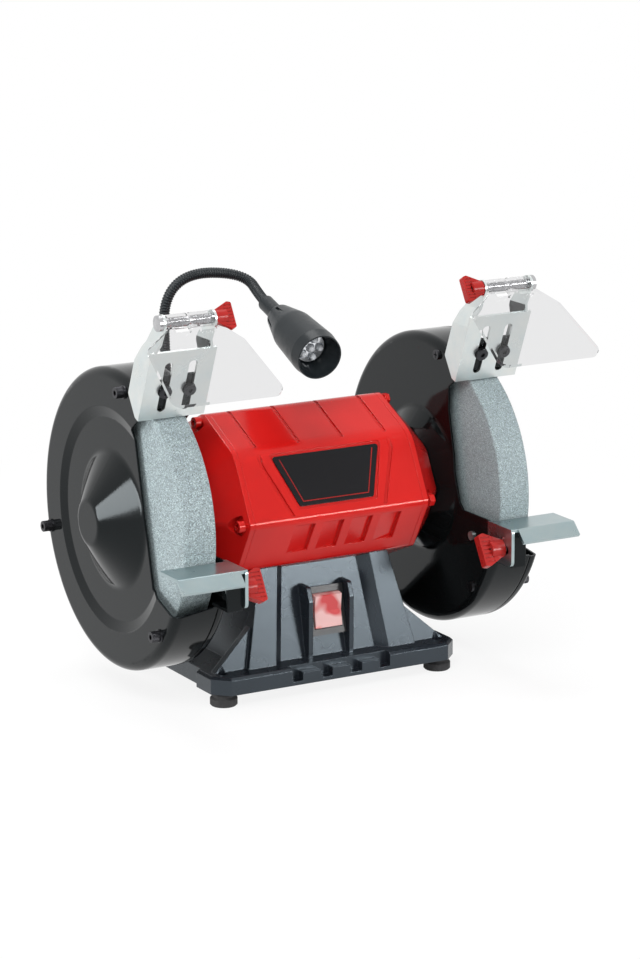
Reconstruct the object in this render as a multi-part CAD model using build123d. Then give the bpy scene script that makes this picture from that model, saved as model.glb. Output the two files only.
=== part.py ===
from build123d import *
import os
from math import atan2, cos, hypot, radians, sin, sqrt

# Bench grinder with two wheels, eye shields, tool rests and a gooseneck work lamp, in millimetres.
# z = 0 is the bench under the rubber feet, +Z is up, +X runs along the shaft and -Y faces the user.
# The origin is the middle of the four bench bolts, straight below the middle of the shaft.
# Pieces that come in pairs are drawn on the +X side and mirrored, unless the pair differs.

# Wheels and shaft
SHAFT_Z = 132.0  # shaft above the bench
WHEEL_DIA = 200.0
WHEEL_WIDTH = 25.0
WHEEL_BORE = 16.0
WHEEL_X = 130.0  # middle of a wheel from the middle of the motor
FLANGE_DIA = 68.0
FLANGE_T = 4.0
BLOTTER_T = 0.8
NUT_AF = 24.0
NUT_T = 9.0
SHAFT_DIA = 20.0
ROTOR_SEAT_DIA = 23.0
FIT = 0.05  # radial clearance of a turned fit

# Wheel guards
SHEET = 1.5
RIM_GAP = 8.5  # wheel rim to the inside of the guard
SIDE_GAP_IN = 6.5  # wheel to the guard's inner piece
SIDE_GAP_OUT = 6.0  # wheel to the guard's cover
PAN_CORNER = 6.5  # rounded edge of the deep-drawn piece
LID_CORNER = 4.0
LIP = 6.5  # rim of the shallow piece
LIP_GAP = 1.0
DOME_H = 18.0  # dome of a cover, above its face
DOME_R = 16.0
DOME_FOOT_R = 50.0
RING_OUT_R = 82.0
RING_IN_R = 74.0
RING_DEPTH = 2.5
HUB_H = 12.0  # hub of an inner piece, pressed out towards the motor
HUB_R = 37.0
HUB_FOOT_R = 54.0
RIM_END_DEG = {"left": -150.5, "right": -158.0}  # where the cover's rim ends below the tool rest
BAND_END_DEG = -158.0
STRAP_DEGS = (104.0, -15.0, -138.0)
STRAP_W = 14.0
STRAP_T = 2.0
STRAP_DROP = 3.0  # strap inside the guard's rim
GUARD_SCREW_R = 101.0
GUARD_SCREW_DIA = 4.0
GUARD_SCREW_HEAD = 6.0
WASHER_T = 1.2
HUB_SCREW_R = 27.5
HUB_SCREW_DIA = 4.0
HUB_SCREW_DEPTH = 9.0
HUB_SCREW_DEGS = (30.0, 150.0, 270.0)

# Motor
BODY_LENGTH = 140.0
BODY_FRONT = 71.0
BODY_TOP = 69.5
BODY_BOTTOM = 58.0
UPPER_EDGE = (46.0, 47.5)
LOWER_EDGE = (50.0, -37.0)
BODY_ROUND = 6.0
BODY_TOP_ROUND = 10.0
BODY_UPPER_ROUND = 30.0
BODY_BORE = 100.0
GROOVE_XS = (-54.0, -18.0, 18.0, 54.0)
GROOVE_W = 2.6
GROOVE_D = 1.2
STATOR_LENGTH = 52.0
STATOR_BORE = 63.0
AIR_GAP = 0.5
WINDING_LENGTH = 20.0
LOUVRES = 4
LOUVRE_START = -37.0
LOUVRE_PITCH = 24.0
LOUVRE_W = 17.0
LOUVRE_H = 26.0
LOUVRE_DROP = 5.0  # below the front edge
LOUVRE_TILT = 8.5
END_EDGE = 4.0  # straight edge of an end shield beside the motor
NOSE_SHARE = 0.62  # small end of the end shield, of the motor's section
REGISTER = 6.0  # end shield's ring in the motor's bore
REGISTER_T = 4.0
SPIGOT_DIA = 40.0
BEARING_OD = 47.0
BEARING_WIDTH = 14.0
BEARING_END_WALL = 3.5
TIE_DIA = 5.0
TIE_INSET = 6.5  # tie bolt inside the motor's edges
TIE_SEAT = 7.0  # seat of a tie bolt beyond the motor's end
TIE_POCKET = 15.0

# Label recess on the upper front face, measured up the face from the front edge
LABEL_LOW = 10.5
LABEL_HIGH = 49.0
LABEL_LOW_W = 61.0
LABEL_HIGH_W = 89.0
LABEL_T = 0.8
RECESS_D = 1.6
RECESS_EDGE = 2.2

# Base
FOOT_DIA = 20.0
FOOT_H = 10.0
BOLT_DX = 180.0
BOLT_DY = 116.0
BOLT_HOLE = 7.0
SKIRT_H = 13.0
BASE_W = 204.0
BASE_D = 144.0
BASE_CHAMFER = 11.0
BASE_WALL = 5.0
BASE_TOP_T = 4.0
LEG_TOP_W = 109.0
LEG_TOP_D = 92.0
LEG_FOOT_W = 140.0
LEG_FOOT_D = 119.0
LEG_TOP_DROP = 41.5  # leg tops below the shaft
SADDLE_DROP = 26.0  # tops of the motor's saddle below the shaft
PANEL_DEPTH = 8.0
PANEL_TOP_W = 62.0
PANEL_FOOT_W = 79.0
PED_WALL = 6.0
NOTCH_W = 82.0
NOTCH_D = 7.0
NOTCH_SILL = 3.0  # skirt left below the notch
NOTCH_BLOCK_W = 15.0
NOTCH_BLOCK_H = 6.0
NOTCH_PITCH = 24.8
SIDE_NOTCH_D = 4.0
SIDE_NOTCH_END = 33.0  # side notch from the base's front and back
GUSSET_T = 6.0
GUSSET_SET = 4.0  # gusset behind the leg's front
GUSSET_TOP = 30.0  # gusset above the plate
GUSSET_TOE = 6.0  # gusset's toe inside the plate's edge
BOTTOM_T = 1.5
BOTTOM_GAP = 0.4  # round the bottom plate
POST_DIA = 8.0  # posts for the bottom plate's screws
POST_SCREW_DIA = 4.0
POST_INSET = (22.0, 40.0)  # from the base's side and from its front or back
CAPACITOR_DIA = 30.0
CAPACITOR_LENGTH = 52.0
CAPACITOR_AT = (-14.0, 18.0)
TERMINAL_SIZE = (30.0, 14.0, 14.0)
TERMINAL_PITCH = 9.0
TERMINAL_AT = (38.0, 20.0)

# Switch
SWITCH_DROP = 77.0  # middle of the rocker below the shaft
SWITCH_W = 30.0
SWITCH_H = 36.0
SWITCH_RIM = 2.5  # frame beyond its hole in the panel
SWITCH_BODY = 22.0  # body behind the panel
ROCKER_W = 22.0
ROCKER_R = 13.0
ROCKER_TILT = 9.0
CHEEK_T = 3.5
CHEEK_OUT = 14.0
CHEEK_ABOVE = 4.0  # cheek beyond the switch's frame
CHEEK_BELOW = 16.5
SWITCH_OUT = 5.0  # frame's front above the panel

# Inlets at the back
GLAND_DIA = 16.0
GLAND_DROP = 88.0
GLAND_X = 24.0
CORD_HOLE = 7.2
SOCKET_DIA = 14.0
COLLAR = 1.3  # hexagon across its corners to the thread
THREAD = 14.0  # thread of the gland and the socket behind the panel
COLLAR_T = 5.0
GLAND_NOSE = 7.0
SPOT_FACE = 2.5  # flat seat sunk into the leaning back

# Spark guards: t runs up the plate from its lower edge, n runs back from its front face
SPARK_GAP = 1.8
SPARK_DEG = 124.4
SPARK_TILT = 21.9
SPARK_W = 52.0
SPARK_H = 55.0
SPARK_T = 1.8
SPARK_FLANGE = 20.0
SLOT_HALF_PITCH = 9.5
SLOT_LOW = 6.0
SLOT_LENGTH = 40.0
SLOT_W = 6.4
SPARK_SCREW_T = 23.0
SPARK_SCREW_DIA = 5.0
TAB_W = 26.0
TAB_TOP = 34.0
SLIDE_GAP = 0.15  # between flat faces that slide on each other

# Eye shields
ROD_T = 77.5
ROD_N = 3.7
ROD_DIA = 6.0
EAR_OUT = 20.5  # outside of the ears from the wheel's middle
EAR_REACH = 6.0  # ear beyond the rod's middle
KNUCKLE_DIA = 11.0
KNUCKLE_GAP = 3.0
KNUCKLE_END_GAP = 0.4
SHIELD_FALL = 38.0
SHIELD_T = 3.0
SHIELD_WIDE = 43.0  # shoulder on the -X side
SHIELD_NARROW = 32.0  # shoulder on the +X side
SHIELD_LOW_W = 87.0
SHIELD_SHOULDER = 26.0
SHIELD_REACH = 77.0
RUN_GAP = 0.3  # between pieces that turn or slide past each other

# Tool rests
REST_DROP = 12.5  # table top below the shaft
REST_GAP = 2.0
REST_W = 54.5
REST_DEPTH = 27.0
REST_T = 2.5
REST_LIP = 12.0
LUG_GAP_BACK = 5.0  # guard's ledge ends this far behind the table's back edge
LUG_DROP = 28.0
LUG_DEPTH = 32.0
STUD_BACK = 14.5  # stud in front of the table's back edge
STUD_DROP = 29.0
STUD_DIA = 6.0
LUG_SLOT = 25.0
BRACKET_T = 2.0
BRACKET_W = 12.0

# Wing knobs: span across the wings, length along the axis
REST_KNOB = (25.0, 18.0)
SHIELD_KNOB = (20.0, 14.5)

# Lamp: the neck's points from the socket to the lamp head, with z from the shaft
NECK_DIA = 8.0
NECK_BORE = 4.4
RIB_PITCH = 6.0
RIB_DEPTH = 0.6
RIBS_IN_A_LOFT = 4
NECK_ROOT = (-53.0, 42.0, -70.0)
NECK_KNEE = (-53.0, 88.0, -70.0)
NECK_CROWN = (-61.0, 88.0, 158.0)
NECK_TURN = (9.5, 88.0, 150.0)
NECK_DIP = (6.8, 58.0, 136.0)
NECK_RADII = (28.0, 36.0, 21.0, 40.0)
HEAD_AXIS = (-0.085, -0.97, -0.24)
NECK_TAIL = 16.0
NECK_SPLIT = 45.0  # from the crown point to where the two necks meet
HEAD_LENGTH = 89.0
HEAD_DIA = 36.0
HEAD_MOUTH = 32.0
HEAD_TAPER = 4.5  # mouth's narrowing down to the diodes
HEAD_RECESS = 20.0
LED_DIA = 5.0
LED_COUNT = 6
LED_RING_R = 7.2
HEAD_SLOTS = 6

# Worked out from the sizes above
WHEEL_R = WHEEL_DIA / 2
GUARD_R = WHEEL_R + RIM_GAP + SHEET
GUARD_IN = WHEEL_X - WHEEL_WIDTH / 2 - SIDE_GAP_IN - SHEET
GUARD_OUT = WHEEL_X + WHEEL_WIDTH / 2 + SIDE_GAP_OUT + SHEET
BODY_END = BODY_LENGTH / 2
HUB_X = GUARD_IN - HUB_H
HOLLOW_INSET = BASE_WALL + SIDE_NOTCH_D
SHOULDER_X = WHEEL_X - WHEEL_WIDTH / 2 - BLOTTER_T - FLANGE_T
PLATE_Z = FOOT_H + SKIRT_H
FAR = 3 * GUARD_R
SHAFT_AXIS = Axis((0, 0, SHAFT_Z), (1, 0, 0))
UP = (Align.CENTER, Align.CENTER, Align.MIN)

# Pressed forms from the axis outwards: height above the face, radius and fillet
DOME = [
    (DOME_H, 0),
    (DOME_H, DOME_R, 6),
    (-RING_DEPTH, DOME_FOOT_R, 8),
    (-RING_DEPTH, RING_IN_R, 1.5),
    (0, RING_OUT_R, 1.5),
]
HUB = [(HUB_H, 0), (HUB_H, HUB_R, 4), (0, HUB_FOOT_R, 6)]


def outline(points):
    """Face from (u, v) or (u, v, corner radius) points."""
    corners = [point[:2] for point in points]
    radii = [point[2] if len(point) > 2 else 0 for point in points]
    return make_face(FilletPolyline(*corners, radius=radii, close=True))


def side_plane(x):
    """Plane square to the shaft, with (y, z) measured from the shaft."""
    return Plane(origin=(x, 0, SHAFT_Z), x_dir=(0, 1, 0), z_dir=(1, 0, 0))


def prism(points, x0, x1):
    return extrude(side_plane(min(x0, x1)) * outline(points), abs(x1 - x0))


def taper(x0, points0, x1, points1):
    """Ruled block along the shaft between two outlines with as many corners."""
    faces = [side_plane(x0) * outline(points0), side_plane(x1) * outline(points1)]
    return loft(faces, ruled=True)


def turned(points):
    """Solid of revolution about the shaft from (x, radius) points."""
    plane = Plane(origin=(0, 0, SHAFT_Z), x_dir=(1, 0, 0), z_dir=(0, -1, 0))
    return revolve(plane * outline(points), SHAFT_AXIS)


def rod(start, end, dia):
    run = Vector(end) - Vector(start)
    return Plane(origin=start, z_dir=run) * Cylinder(dia / 2, run.length, align=UP)


def from_shaft(x, y, z):
    return (x, y, SHAFT_Z + z)


def polar(radius, angle):
    return (radius * cos(radians(angle)), radius * sin(radians(angle)))


def along_x(x0, x1, y, z, dia):
    return rod(from_shaft(x0, y, z), from_shaft(x1, y, z), dia)


def mirrored(solid):
    return mirror(solid, about=Plane.YZ)


def pair(solid):
    return {"left": mirrored(solid), "right": solid}


def turned_about_shaft(solid, angle):
    """Turn a solid drawn above the shaft to the angle measured from +Y towards +Z."""
    return solid.rotate(SHAFT_AXIS, angle - 90)


def mirrored_points(points):
    """Closed outline from its +Y half, given from top to bottom."""
    return points + [(-point[0], *point[1:]) for point in reversed(points) if point[0] > 0]


# Rotor: shaft, core, wheels and what clamps them


def make_shaft():
    end = WHEEL_X + WHEEL_WIDTH / 2 + BLOTTER_T + FLANGE_T + NUT_T + 1.5
    seat = STATOR_LENGTH / 2 + 6
    half = [
        (seat, ROTOR_SEAT_DIA / 2),
        (seat, SHAFT_DIA / 2),
        (SHOULDER_X, SHAFT_DIA / 2),
        (SHOULDER_X, WHEEL_BORE / 2),
        (end - 1, WHEEL_BORE / 2),
        (end, WHEEL_BORE / 2 - 1),
        (end, 0),
    ]
    return turned([(-x, r) for x, r in reversed(half)] + half)


def ring(x0, x1, outer_dia, inner_dia, edge=0.0):
    """Ring about the shaft, with its outer edges chamfered if asked."""
    low, high = min(x0, x1), max(x0, x1)
    r, bore = outer_dia / 2, inner_dia / 2
    if edge == 0:
        return turned([(low, bore), (low, r), (high, r), (high, bore)])
    flank = [(low, r - edge), (low + edge, r), (high - edge, r), (high, r - edge)]
    return turned([(low, bore), *flank, (high, bore)])


def make_rotor_core():
    half = STATOR_LENGTH / 2 + 4
    return ring(-half, half, STATOR_BORE - 2 * AIR_GAP, ROTOR_SEAT_DIA + 2 * FIT, 2.0)


def make_wheel():
    x0 = WHEEL_X - WHEEL_WIDTH / 2
    return ring(x0, x0 + WHEEL_WIDTH, WHEEL_DIA, WHEEL_BORE + 2 * FIT, 0.8)


def make_flanges():
    """Dished clamping flanges, one each side of the wheel."""
    inner = SHOULDER_X
    outer = WHEEL_X + WHEEL_WIDTH / 2 + BLOTTER_T
    bore = WHEEL_BORE / 2 + FIT
    r = FLANGE_DIA / 2
    relief = 1.0
    flanges = []
    for back, face in ((inner, inner + FLANGE_T), (outer + FLANGE_T, outer)):
        way = 1 if face > back else -1
        flanges.append(
            turned(
                [
                    (back, bore),
                    (back, r * 0.55),
                    (back + way * FLANGE_T / 2, r),
                    (face, r),
                    (face, r * 0.7),
                    (face - way * relief, r * 0.66),
                    (face - way * relief, bore),
                ]
            )
        )
    return flanges


def make_blotters():
    inner = WHEEL_X - WHEEL_WIDTH / 2
    outer = WHEEL_X + WHEEL_WIDTH / 2
    size = (FLANGE_DIA + 2, WHEEL_BORE + 2 * FIT)
    return [ring(inner - BLOTTER_T, inner, *size), ring(outer, outer + BLOTTER_T, *size)]


def make_nut():
    x0 = WHEEL_X + WHEEL_WIDTH / 2 + BLOTTER_T + FLANGE_T
    hexagon = RegularPolygon(NUT_AF / 2, 6, major_radius=False)
    bore = Circle(WHEEL_BORE / 2 + FIT)
    return extrude(side_plane(x0) * (hexagon - bore), NUT_T)


# Bearings


def bearing_x():
    """Inner and outer end of a bearing, seated in the end shield."""
    end = HUB_X - BEARING_END_WALL
    return end - BEARING_WIDTH, end


def make_bearing_outer():
    x0, x1 = bearing_x()
    race = BEARING_OD / 2 - 4.5
    shield = 1.2
    r = BEARING_OD / 2
    neck = SHAFT_DIA / 2 + 4.5
    return turned(
        [
            (x0, neck),
            (x0, r - 0.6),
            (x0 + 0.6, r),
            (x1 - 0.6, r),
            (x1, r - 0.6),
            (x1, neck),
            (x1 - shield, neck),
            (x1 - shield, race),
            (x0 + shield, race),
            (x0 + shield, neck),
        ]
    )


def make_bearing_inner():
    x0, x1 = bearing_x()
    return ring(x0, x1, SHAFT_DIA + 9 - 2 * RUN_GAP, SHAFT_DIA + 2 * FIT)


# Motor


def body_points(share=1.0):
    """Motor's section, or a smaller one of the same form."""
    half = [
        (0, BODY_TOP, BODY_TOP_ROUND),
        (*UPPER_EDGE, BODY_UPPER_ROUND),
        (BODY_FRONT, 0, BODY_ROUND),
        (*LOWER_EDGE, BODY_ROUND),
        (0, -BODY_BOTTOM, BODY_ROUND),
    ]
    return mirrored_points([tuple(share * value for value in point) for point in half])


def tie_points():
    return [
        (0, BODY_TOP - TIE_INSET),
        (BODY_FRONT - TIE_INSET, 0),
        (0, TIE_DIA - BODY_BOTTOM),
        (TIE_INSET - BODY_FRONT, 0),
    ]


def face_plane(start, end):
    """Plane on a flat face of the motor, x along the shaft and y from start to end, seen from outside."""
    run = Vector(0, end[0] - start[0], end[1] - start[1]).normalized()
    normal = Vector(1, 0, 0).cross(run)
    return Plane(origin=from_shaft(0, *start), x_dir=(1, 0, 0), z_dir=normal)


def label_outline(grow):
    low, high = LABEL_LOW - grow, LABEL_HIGH + grow
    low_w, high_w = LABEL_LOW_W / 2 + grow, LABEL_HIGH_W / 2 + grow
    return outline([(-low_w, low, 2), (low_w, low, 2), (high_w, high, 2), (-high_w, high, 2)])


def upper_front_plane():
    """Upper front face of the motor, with y running up from the front edge."""
    return face_plane((-BODY_FRONT, 0), (-UPPER_EDGE[0], UPPER_EDGE[1]))


def lower_front_plane():
    """Lower front face of the motor, with y running up to the front edge."""
    return face_plane((-LOWER_EDGE[0], LOWER_EDGE[1]), (-BODY_FRONT, 0))


def groove_outline(way):
    """Outer groove beside the label: straight down, then slanted along the label's side."""
    face_run = hypot(BODY_FRONT - UPPER_EDGE[0], UPPER_EDGE[1])
    top_x, low_x = GROOVE_XS[-1], LABEL_LOW_W / 2 + 3.5 * RECESS_EDGE
    bend, foot = LABEL_HIGH - 5, LABEL_LOW - 3 * RECESS_EDGE
    route = [(top_x, face_run), (top_x, bend), (low_x, foot)]
    half = GROOVE_W / 2
    line = [(way * (x + half), y) for x, y in route]
    return outline(line + [(way * (x - half), y) for x, y in reversed(route)])


def make_motor_shell():
    """Motor shell with pressed grooves, a label recess and louvres, bored for the stator."""
    shell = prism(body_points(), -BODY_END, BODY_END)
    shell -= along_x(-BODY_END - 1, BODY_END + 1, 0, 0, BODY_BORE)
    for y, z in tie_points():
        shell -= along_x(-BODY_END - 1, BODY_END + 1, y, z, TIE_DIA + 2 * FIT)
    # Grooves over the top, which stop short of the label
    skin = side_plane(0) * outline(body_points())
    core = offset(skin, -GROOVE_D)
    crown = Pos(*from_shaft(0, 0, UPPER_EDGE[1] + 2)) * Box(FAR, FAR, BODY_TOP, align=UP)
    for x in GROOVE_XS:
        groove = Pos(x - GROOVE_W / 2, 0, 0) * (extrude(skin, GROOVE_W) - extrude(core, GROOVE_W))
        shell -= groove & crown
    # Label recess, with the outer grooves run down beside it
    front = upper_front_plane()
    shell -= extrude(front * label_outline(RECESS_EDGE), -RECESS_D)
    for way in (-1, 1):
        shell -= extrude(front * groove_outline(way), -GROOVE_D)
    # Louvres on the lower front face, each sunk along its right edge
    low = lower_front_plane()
    face_run = hypot(BODY_FRONT - LOWER_EDGE[0], LOWER_EDGE[1])
    sheet = Box(LOUVRE_W, LOUVRE_H, LOUVRE_H, align=(Align.MIN, Align.MAX, Align.MIN))
    for i in range(LOUVRES):
        corner = Pos(LOUVRE_START + i * LOUVRE_PITCH, face_run - LOUVRE_DROP, 0)
        shell -= low * corner * Rot(0, LOUVRE_TILT, 0) * sheet
    return shell


def make_label_plate():
    seat = upper_front_plane().offset(-RECESS_D)
    return extrude(seat * label_outline(0), LABEL_T)


def make_end_shield():
    """Cast end shield: edge beside the motor, taper to the guard's hub, bolt pockets and bearing seat."""
    edge = BODY_END + END_EDGE
    shield = prism(body_points(), BODY_END, edge)
    shield += taper(edge, body_points(), HUB_X, body_points(NOSE_SHARE))
    shield += along_x(HUB_X - 1, HUB_X + SHEET, 0, 0, SPIGOT_DIA)
    air_r = BODY_BORE / 2 - REGISTER_T
    shield += ring(BODY_END - REGISTER, BODY_END + 1, BODY_BORE - 2 * FIT, 2 * air_r)
    for y, z in tie_points():
        shield -= along_x(BODY_END + TIE_SEAT, HUB_X + 1, y, z, TIE_POCKET)
        shield -= along_x(BODY_END - REGISTER - 1, HUB_X, y, z, TIE_DIA + 2 * FIT)
    # Air space over the windings, bearing seat and shaft hole
    x0, x1 = bearing_x()
    seat_r, hole_r = BEARING_OD / 2 + FIT, SHAFT_DIA / 2 + 1.5
    shield -= turned(
        [
            (BODY_END - REGISTER - 1, 0),
            (BODY_END - REGISTER - 1, air_r),
            (BODY_END + END_EDGE / 2, air_r),
            (x0, seat_r + END_EDGE),
            (x0, seat_r),
            (x1, seat_r),
            (x1, hole_r),
            (HUB_X + SHEET + 1, hole_r),
            (HUB_X + SHEET + 1, 0),
        ]
    )
    for angle in HUB_SCREW_DEGS:
        y, z = polar(HUB_SCREW_R, angle)
        shield -= along_x(HUB_X - HUB_SCREW_DEPTH - 1, HUB_X + 1, y, z, HUB_SCREW_DIA + 2 * FIT)
    return shield


def make_tie_bolts():
    """Long bolts through both end shields: a socket head on the left, a nut on the right."""
    seat = BODY_END + TIE_SEAT
    bolts = []
    for y, z in tie_points():
        bolt = along_x(-seat, seat + 5, y, z, TIE_DIA)
        bolt += along_x(-seat - TIE_DIA, -seat, y, z, 1.7 * TIE_DIA)
        socket = RegularPolygon(0.4 * TIE_DIA, 6, major_radius=False)
        bolt -= Pos(0, y, z) * extrude(side_plane(-seat - TIE_DIA) * socket, 0.6 * TIE_DIA)
        nut = RegularPolygon(0.8 * TIE_DIA, 6, major_radius=False)
        bolt += Pos(0, y, z) * extrude(side_plane(seat) * nut, 0.8 * TIE_DIA)
        bolts.append(bolt)
    return bolts


def make_stator_core():
    half = STATOR_LENGTH / 2
    return ring(-half, half, BODY_BORE - 2 * FIT, STATOR_BORE)


def make_windings():
    """End turns that stand out of the stator at both ends."""
    x0 = STATOR_LENGTH / 2
    inner, outer = STATOR_BORE / 2 + 3, BODY_BORE / 2 - 5
    coil = turned(
        [
            (x0, inner),
            (x0, outer),
            (x0 + WINDING_LENGTH, outer, 6),
            (x0 + WINDING_LENGTH, inner, 6),
        ]
    )
    return [coil, mirrored(coil)]


# Wheel guards


def spark_yz(t, n):
    """Point on the spark guard's own axes as (y, z) from the shaft."""
    base = polar(WHEEL_R + SPARK_GAP, SPARK_DEG)
    lean, rise = sin(radians(SPARK_TILT)), cos(radians(SPARK_TILT))
    return (base[0] - lean * t + rise * n, base[1] + rise * t + lean * n)


def tab_start():
    """How far up the spark guard the guard's band turns up into its tab."""
    n = SPARK_T + SLIDE_GAP + SHEET / 2
    y, z = spark_yz(0, n)
    slope = -y * sin(radians(SPARK_TILT)) + z * cos(radians(SPARK_TILT))
    reach = GUARD_R - SHEET / 2
    return -slope + sqrt(slope**2 - (y**2 + z**2 - reach**2))


def opening(waist, rim_deg):
    """Cut that opens a guard to the front, from the tab down to the rim's lower end."""
    lower = [polar(GUARD_R + 8, rim_deg), polar(FAR, rim_deg), (-FAR, FAR)]
    upper = [spark_yz(2 * SPARK_H, SPARK_T + SLIDE_GAP), spark_yz(tab_start(), SPARK_T + SLIDE_GAP)]
    return upper + waist + lower


def cover_waist():
    return [polar(GUARD_R - 30.3, 114.8), polar(GUARD_R - 38.9, -148.0)]


def inner_waist():
    """Inner piece: cut back to the nose above the rest, with a ledge left below it for the bracket."""
    ledge_y = rest_back() + LUG_GAP_BACK
    ledge_z = -REST_DROP
    return [
        polar(GUARD_R - 24.0, 117.6),
        polar(GUARD_R - 39.0, 124.0),
        polar(GUARD_R - 53.5, -172.0),
        (-61.5, ledge_z),
        (ledge_y, ledge_z),
        (ledge_y, ledge_z - 10),
        polar(GUARD_R - PAN_CORNER - 1, BAND_END_DEG + 1),
    ]


def dish(face, rim_end, corner, pressing):
    """Pressed sheet disc: flat face at x = face, pressed form in its middle, rim to x = rim_end."""
    inward = 1 if rim_end > face else -1

    def skin(gap):
        centre = [(face + inward * (gap - height), *rest) for height, *rest in pressing]
        end = rim_end + (inward if gap else 0)
        r = GUARD_R - gap
        return turned(centre + [(face + inward * gap, r, corner - gap), (end, r), (end, 0)])

    return skin(0) - skin(SHEET)


def guard_tab(x0):
    """Flat tab at the band's upper end that carries the spark guard."""
    n0 = SPARK_T + SLIDE_GAP
    low, top = tab_start() - SHEET / 2, TAB_TOP
    points = [spark_yz(low, n0), spark_yz(top, n0), spark_yz(top, n0 + SHEET), spark_yz(low, n0 + SHEET)]
    tab = prism(points, x0 - TAB_W / 2, x0 + TAB_W / 2)
    y, z = spark_yz(SPARK_SCREW_T, n0 - 1)
    y1, z1 = spark_yz(SPARK_SCREW_T, n0 + SHEET + 1)
    for way in (-1, 1):
        x = x0 + way * SLOT_HALF_PITCH
        tab -= rod(from_shaft(x, y, z), from_shaft(x, y1, z1), SPARK_SCREW_DIA + 2 * FIT)
    return tab


def guard_holes(x0, x1, dia):
    """Screw holes for the straps."""
    holes = Part()
    for angle in STRAP_DEGS:
        holes += along_x(x0, x1, *polar(GUARD_SCREW_R, angle), dia)
    return holes


def hub_holes(x0, x1):
    """Middle hole for the end shield's spigot, with its three screw holes."""
    holes = along_x(x0, x1, 0, 0, SPIGOT_DIA + 2 * FIT)
    for angle in HUB_SCREW_DEGS:
        holes += along_x(x0, x1, *polar(HUB_SCREW_R, angle), HUB_SCREW_DIA + 2 * FIT)
    return holes


def bracket_holes(x0, x1):
    holes = Part()
    for y, z in bracket_rivet_points():
        holes += along_x(x0, x1, y, z, HUB_SCREW_DIA + 2 * FIT)
    return holes


def make_guards():
    """Both guards. Each pan lies on its guard's -X side and each lid on its +X side."""
    screw = GUARD_SCREW_DIA + 2 * FIT
    pan_end = LIP + LIP_GAP
    out_left = opening(cover_waist(), RIM_END_DEG["left"])
    out_band = opening(cover_waist(), BAND_END_DEG)
    out_right = opening(cover_waist(), RIM_END_DEG["right"])
    inner = opening(inner_waist(), BAND_END_DEG)

    cover_left = dish(-GUARD_OUT, -GUARD_IN - pan_end, PAN_CORNER, DOME)
    cover_left -= taper(-GUARD_OUT - DOME_H - 1, out_left, -GUARD_IN - 1, out_band)
    cover_left += guard_tab(-WHEEL_X)
    cover_left -= guard_holes(-GUARD_OUT - 1, -GUARD_OUT + SHEET + 1, screw)

    inner_left = dish(-GUARD_IN, -GUARD_IN - LIP, LID_CORNER, HUB)
    inner_left -= prism(inner, -GUARD_IN - LIP - 1, -HUB_X + 1)

    inner_right = dish(GUARD_IN, GUARD_OUT - pan_end, PAN_CORNER, HUB)
    inner_right -= prism(inner, HUB_X - 1, GUARD_OUT)
    inner_right += guard_tab(WHEEL_X)

    cover_right = dish(GUARD_OUT, GUARD_OUT - LIP, LID_CORNER, DOME)
    cover_right -= prism(out_right, GUARD_OUT - LIP - 1, GUARD_OUT + DOME_H + 1)
    cover_right -= guard_holes(GUARD_OUT - SHEET - 1, GUARD_OUT + 1, screw)

    low, high = GUARD_IN - 1, GUARD_IN + SHEET + 1
    holes = guard_holes(low, high, screw) + bracket_holes(low, high)
    holes += hub_holes(HUB_X - 1, HUB_X + SHEET + 1)
    inner_right -= holes
    inner_left -= mirrored(holes)
    return {
        "guard_cover_left": cover_left,
        "guard_inner_left": inner_left,
        "guard_inner_right": inner_right,
        "guard_cover_right": cover_right,
    }


def make_straps():
    """Three bent straps inside a guard, from its inner piece to its cover."""
    low, high = GUARD_IN + SHEET, GUARD_OUT - SHEET
    top = GUARD_R - SHEET - STRAP_DROP / 2
    foot = GUARD_SCREW_R - 4.5
    bend = PAN_CORNER - SHEET
    half = [
        (0, foot),
        (0, top - bend + 0.8),
        (bend * 0.38, top - bend * 0.24),
        (bend, top),
    ]
    inside = [
        (bend + 0.5, top - STRAP_T),
        (bend * 0.38 + STRAP_T * 0.75, top - bend * 0.24 - STRAP_T * 0.75),
        (STRAP_T, top - bend + 0.8 - STRAP_T * 0.35),
        (STRAP_T, foot),
    ]
    points = [(low + x, r) for x, r in half] + [(high - x, r) for x, r in reversed(half)]
    points += [(high - x, r) for x, r in reversed(inside)] + [(low + x, r) for x, r in inside]
    plane = Plane(origin=from_shaft(0, STRAP_W / 2, 0), x_dir=(1, 0, 0), z_dir=(0, -1, 0))
    strap = extrude(plane * outline(points), STRAP_W)
    strap -= along_x(low - 1, high + 1, 0, GUARD_SCREW_R, GUARD_SCREW_DIA + 2 * FIT)
    return [turned_about_shaft(strap, angle) for angle in STRAP_DEGS]


def make_cover_screws():
    """Cap screws on washers that hold the cover to the straps."""
    head = GUARD_OUT + WASHER_T
    socket = RegularPolygon(0.5 * GUARD_SCREW_DIA, 6, major_radius=False)
    screws = []
    for angle in STRAP_DEGS:
        y, z = polar(GUARD_SCREW_R, angle)
        screw = along_x(GUARD_OUT - SHEET - STRAP_T - 1.5, head, y, z, GUARD_SCREW_DIA)
        screw += along_x(GUARD_OUT, head, y, z, 2.4 * GUARD_SCREW_DIA)
        screw += along_x(head, head + GUARD_SCREW_HEAD, y, z, 2 * GUARD_SCREW_DIA)
        cavity = extrude(side_plane(head + GUARD_SCREW_HEAD / 2) * socket, GUARD_SCREW_HEAD)
        screws.append(screw - Pos(0, y, z) * cavity)
    return screws


def pan_head(x_seat, way, y, z, dia, grip):
    """Small pan-head screw along X: head on the way side of x_seat, shank through the grip."""
    head = 0.5 * dia
    screw = along_x(x_seat, x_seat - way * grip, y, z, dia)
    screw += along_x(x_seat, x_seat + way * head, y, z, 1.9 * dia)
    slot = Box(head, 1.2 * dia, 0.2 * dia) + Box(head, 0.2 * dia, 1.2 * dia)
    return screw - Pos(*from_shaft(x_seat + way * head, y, z)) * slot


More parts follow.
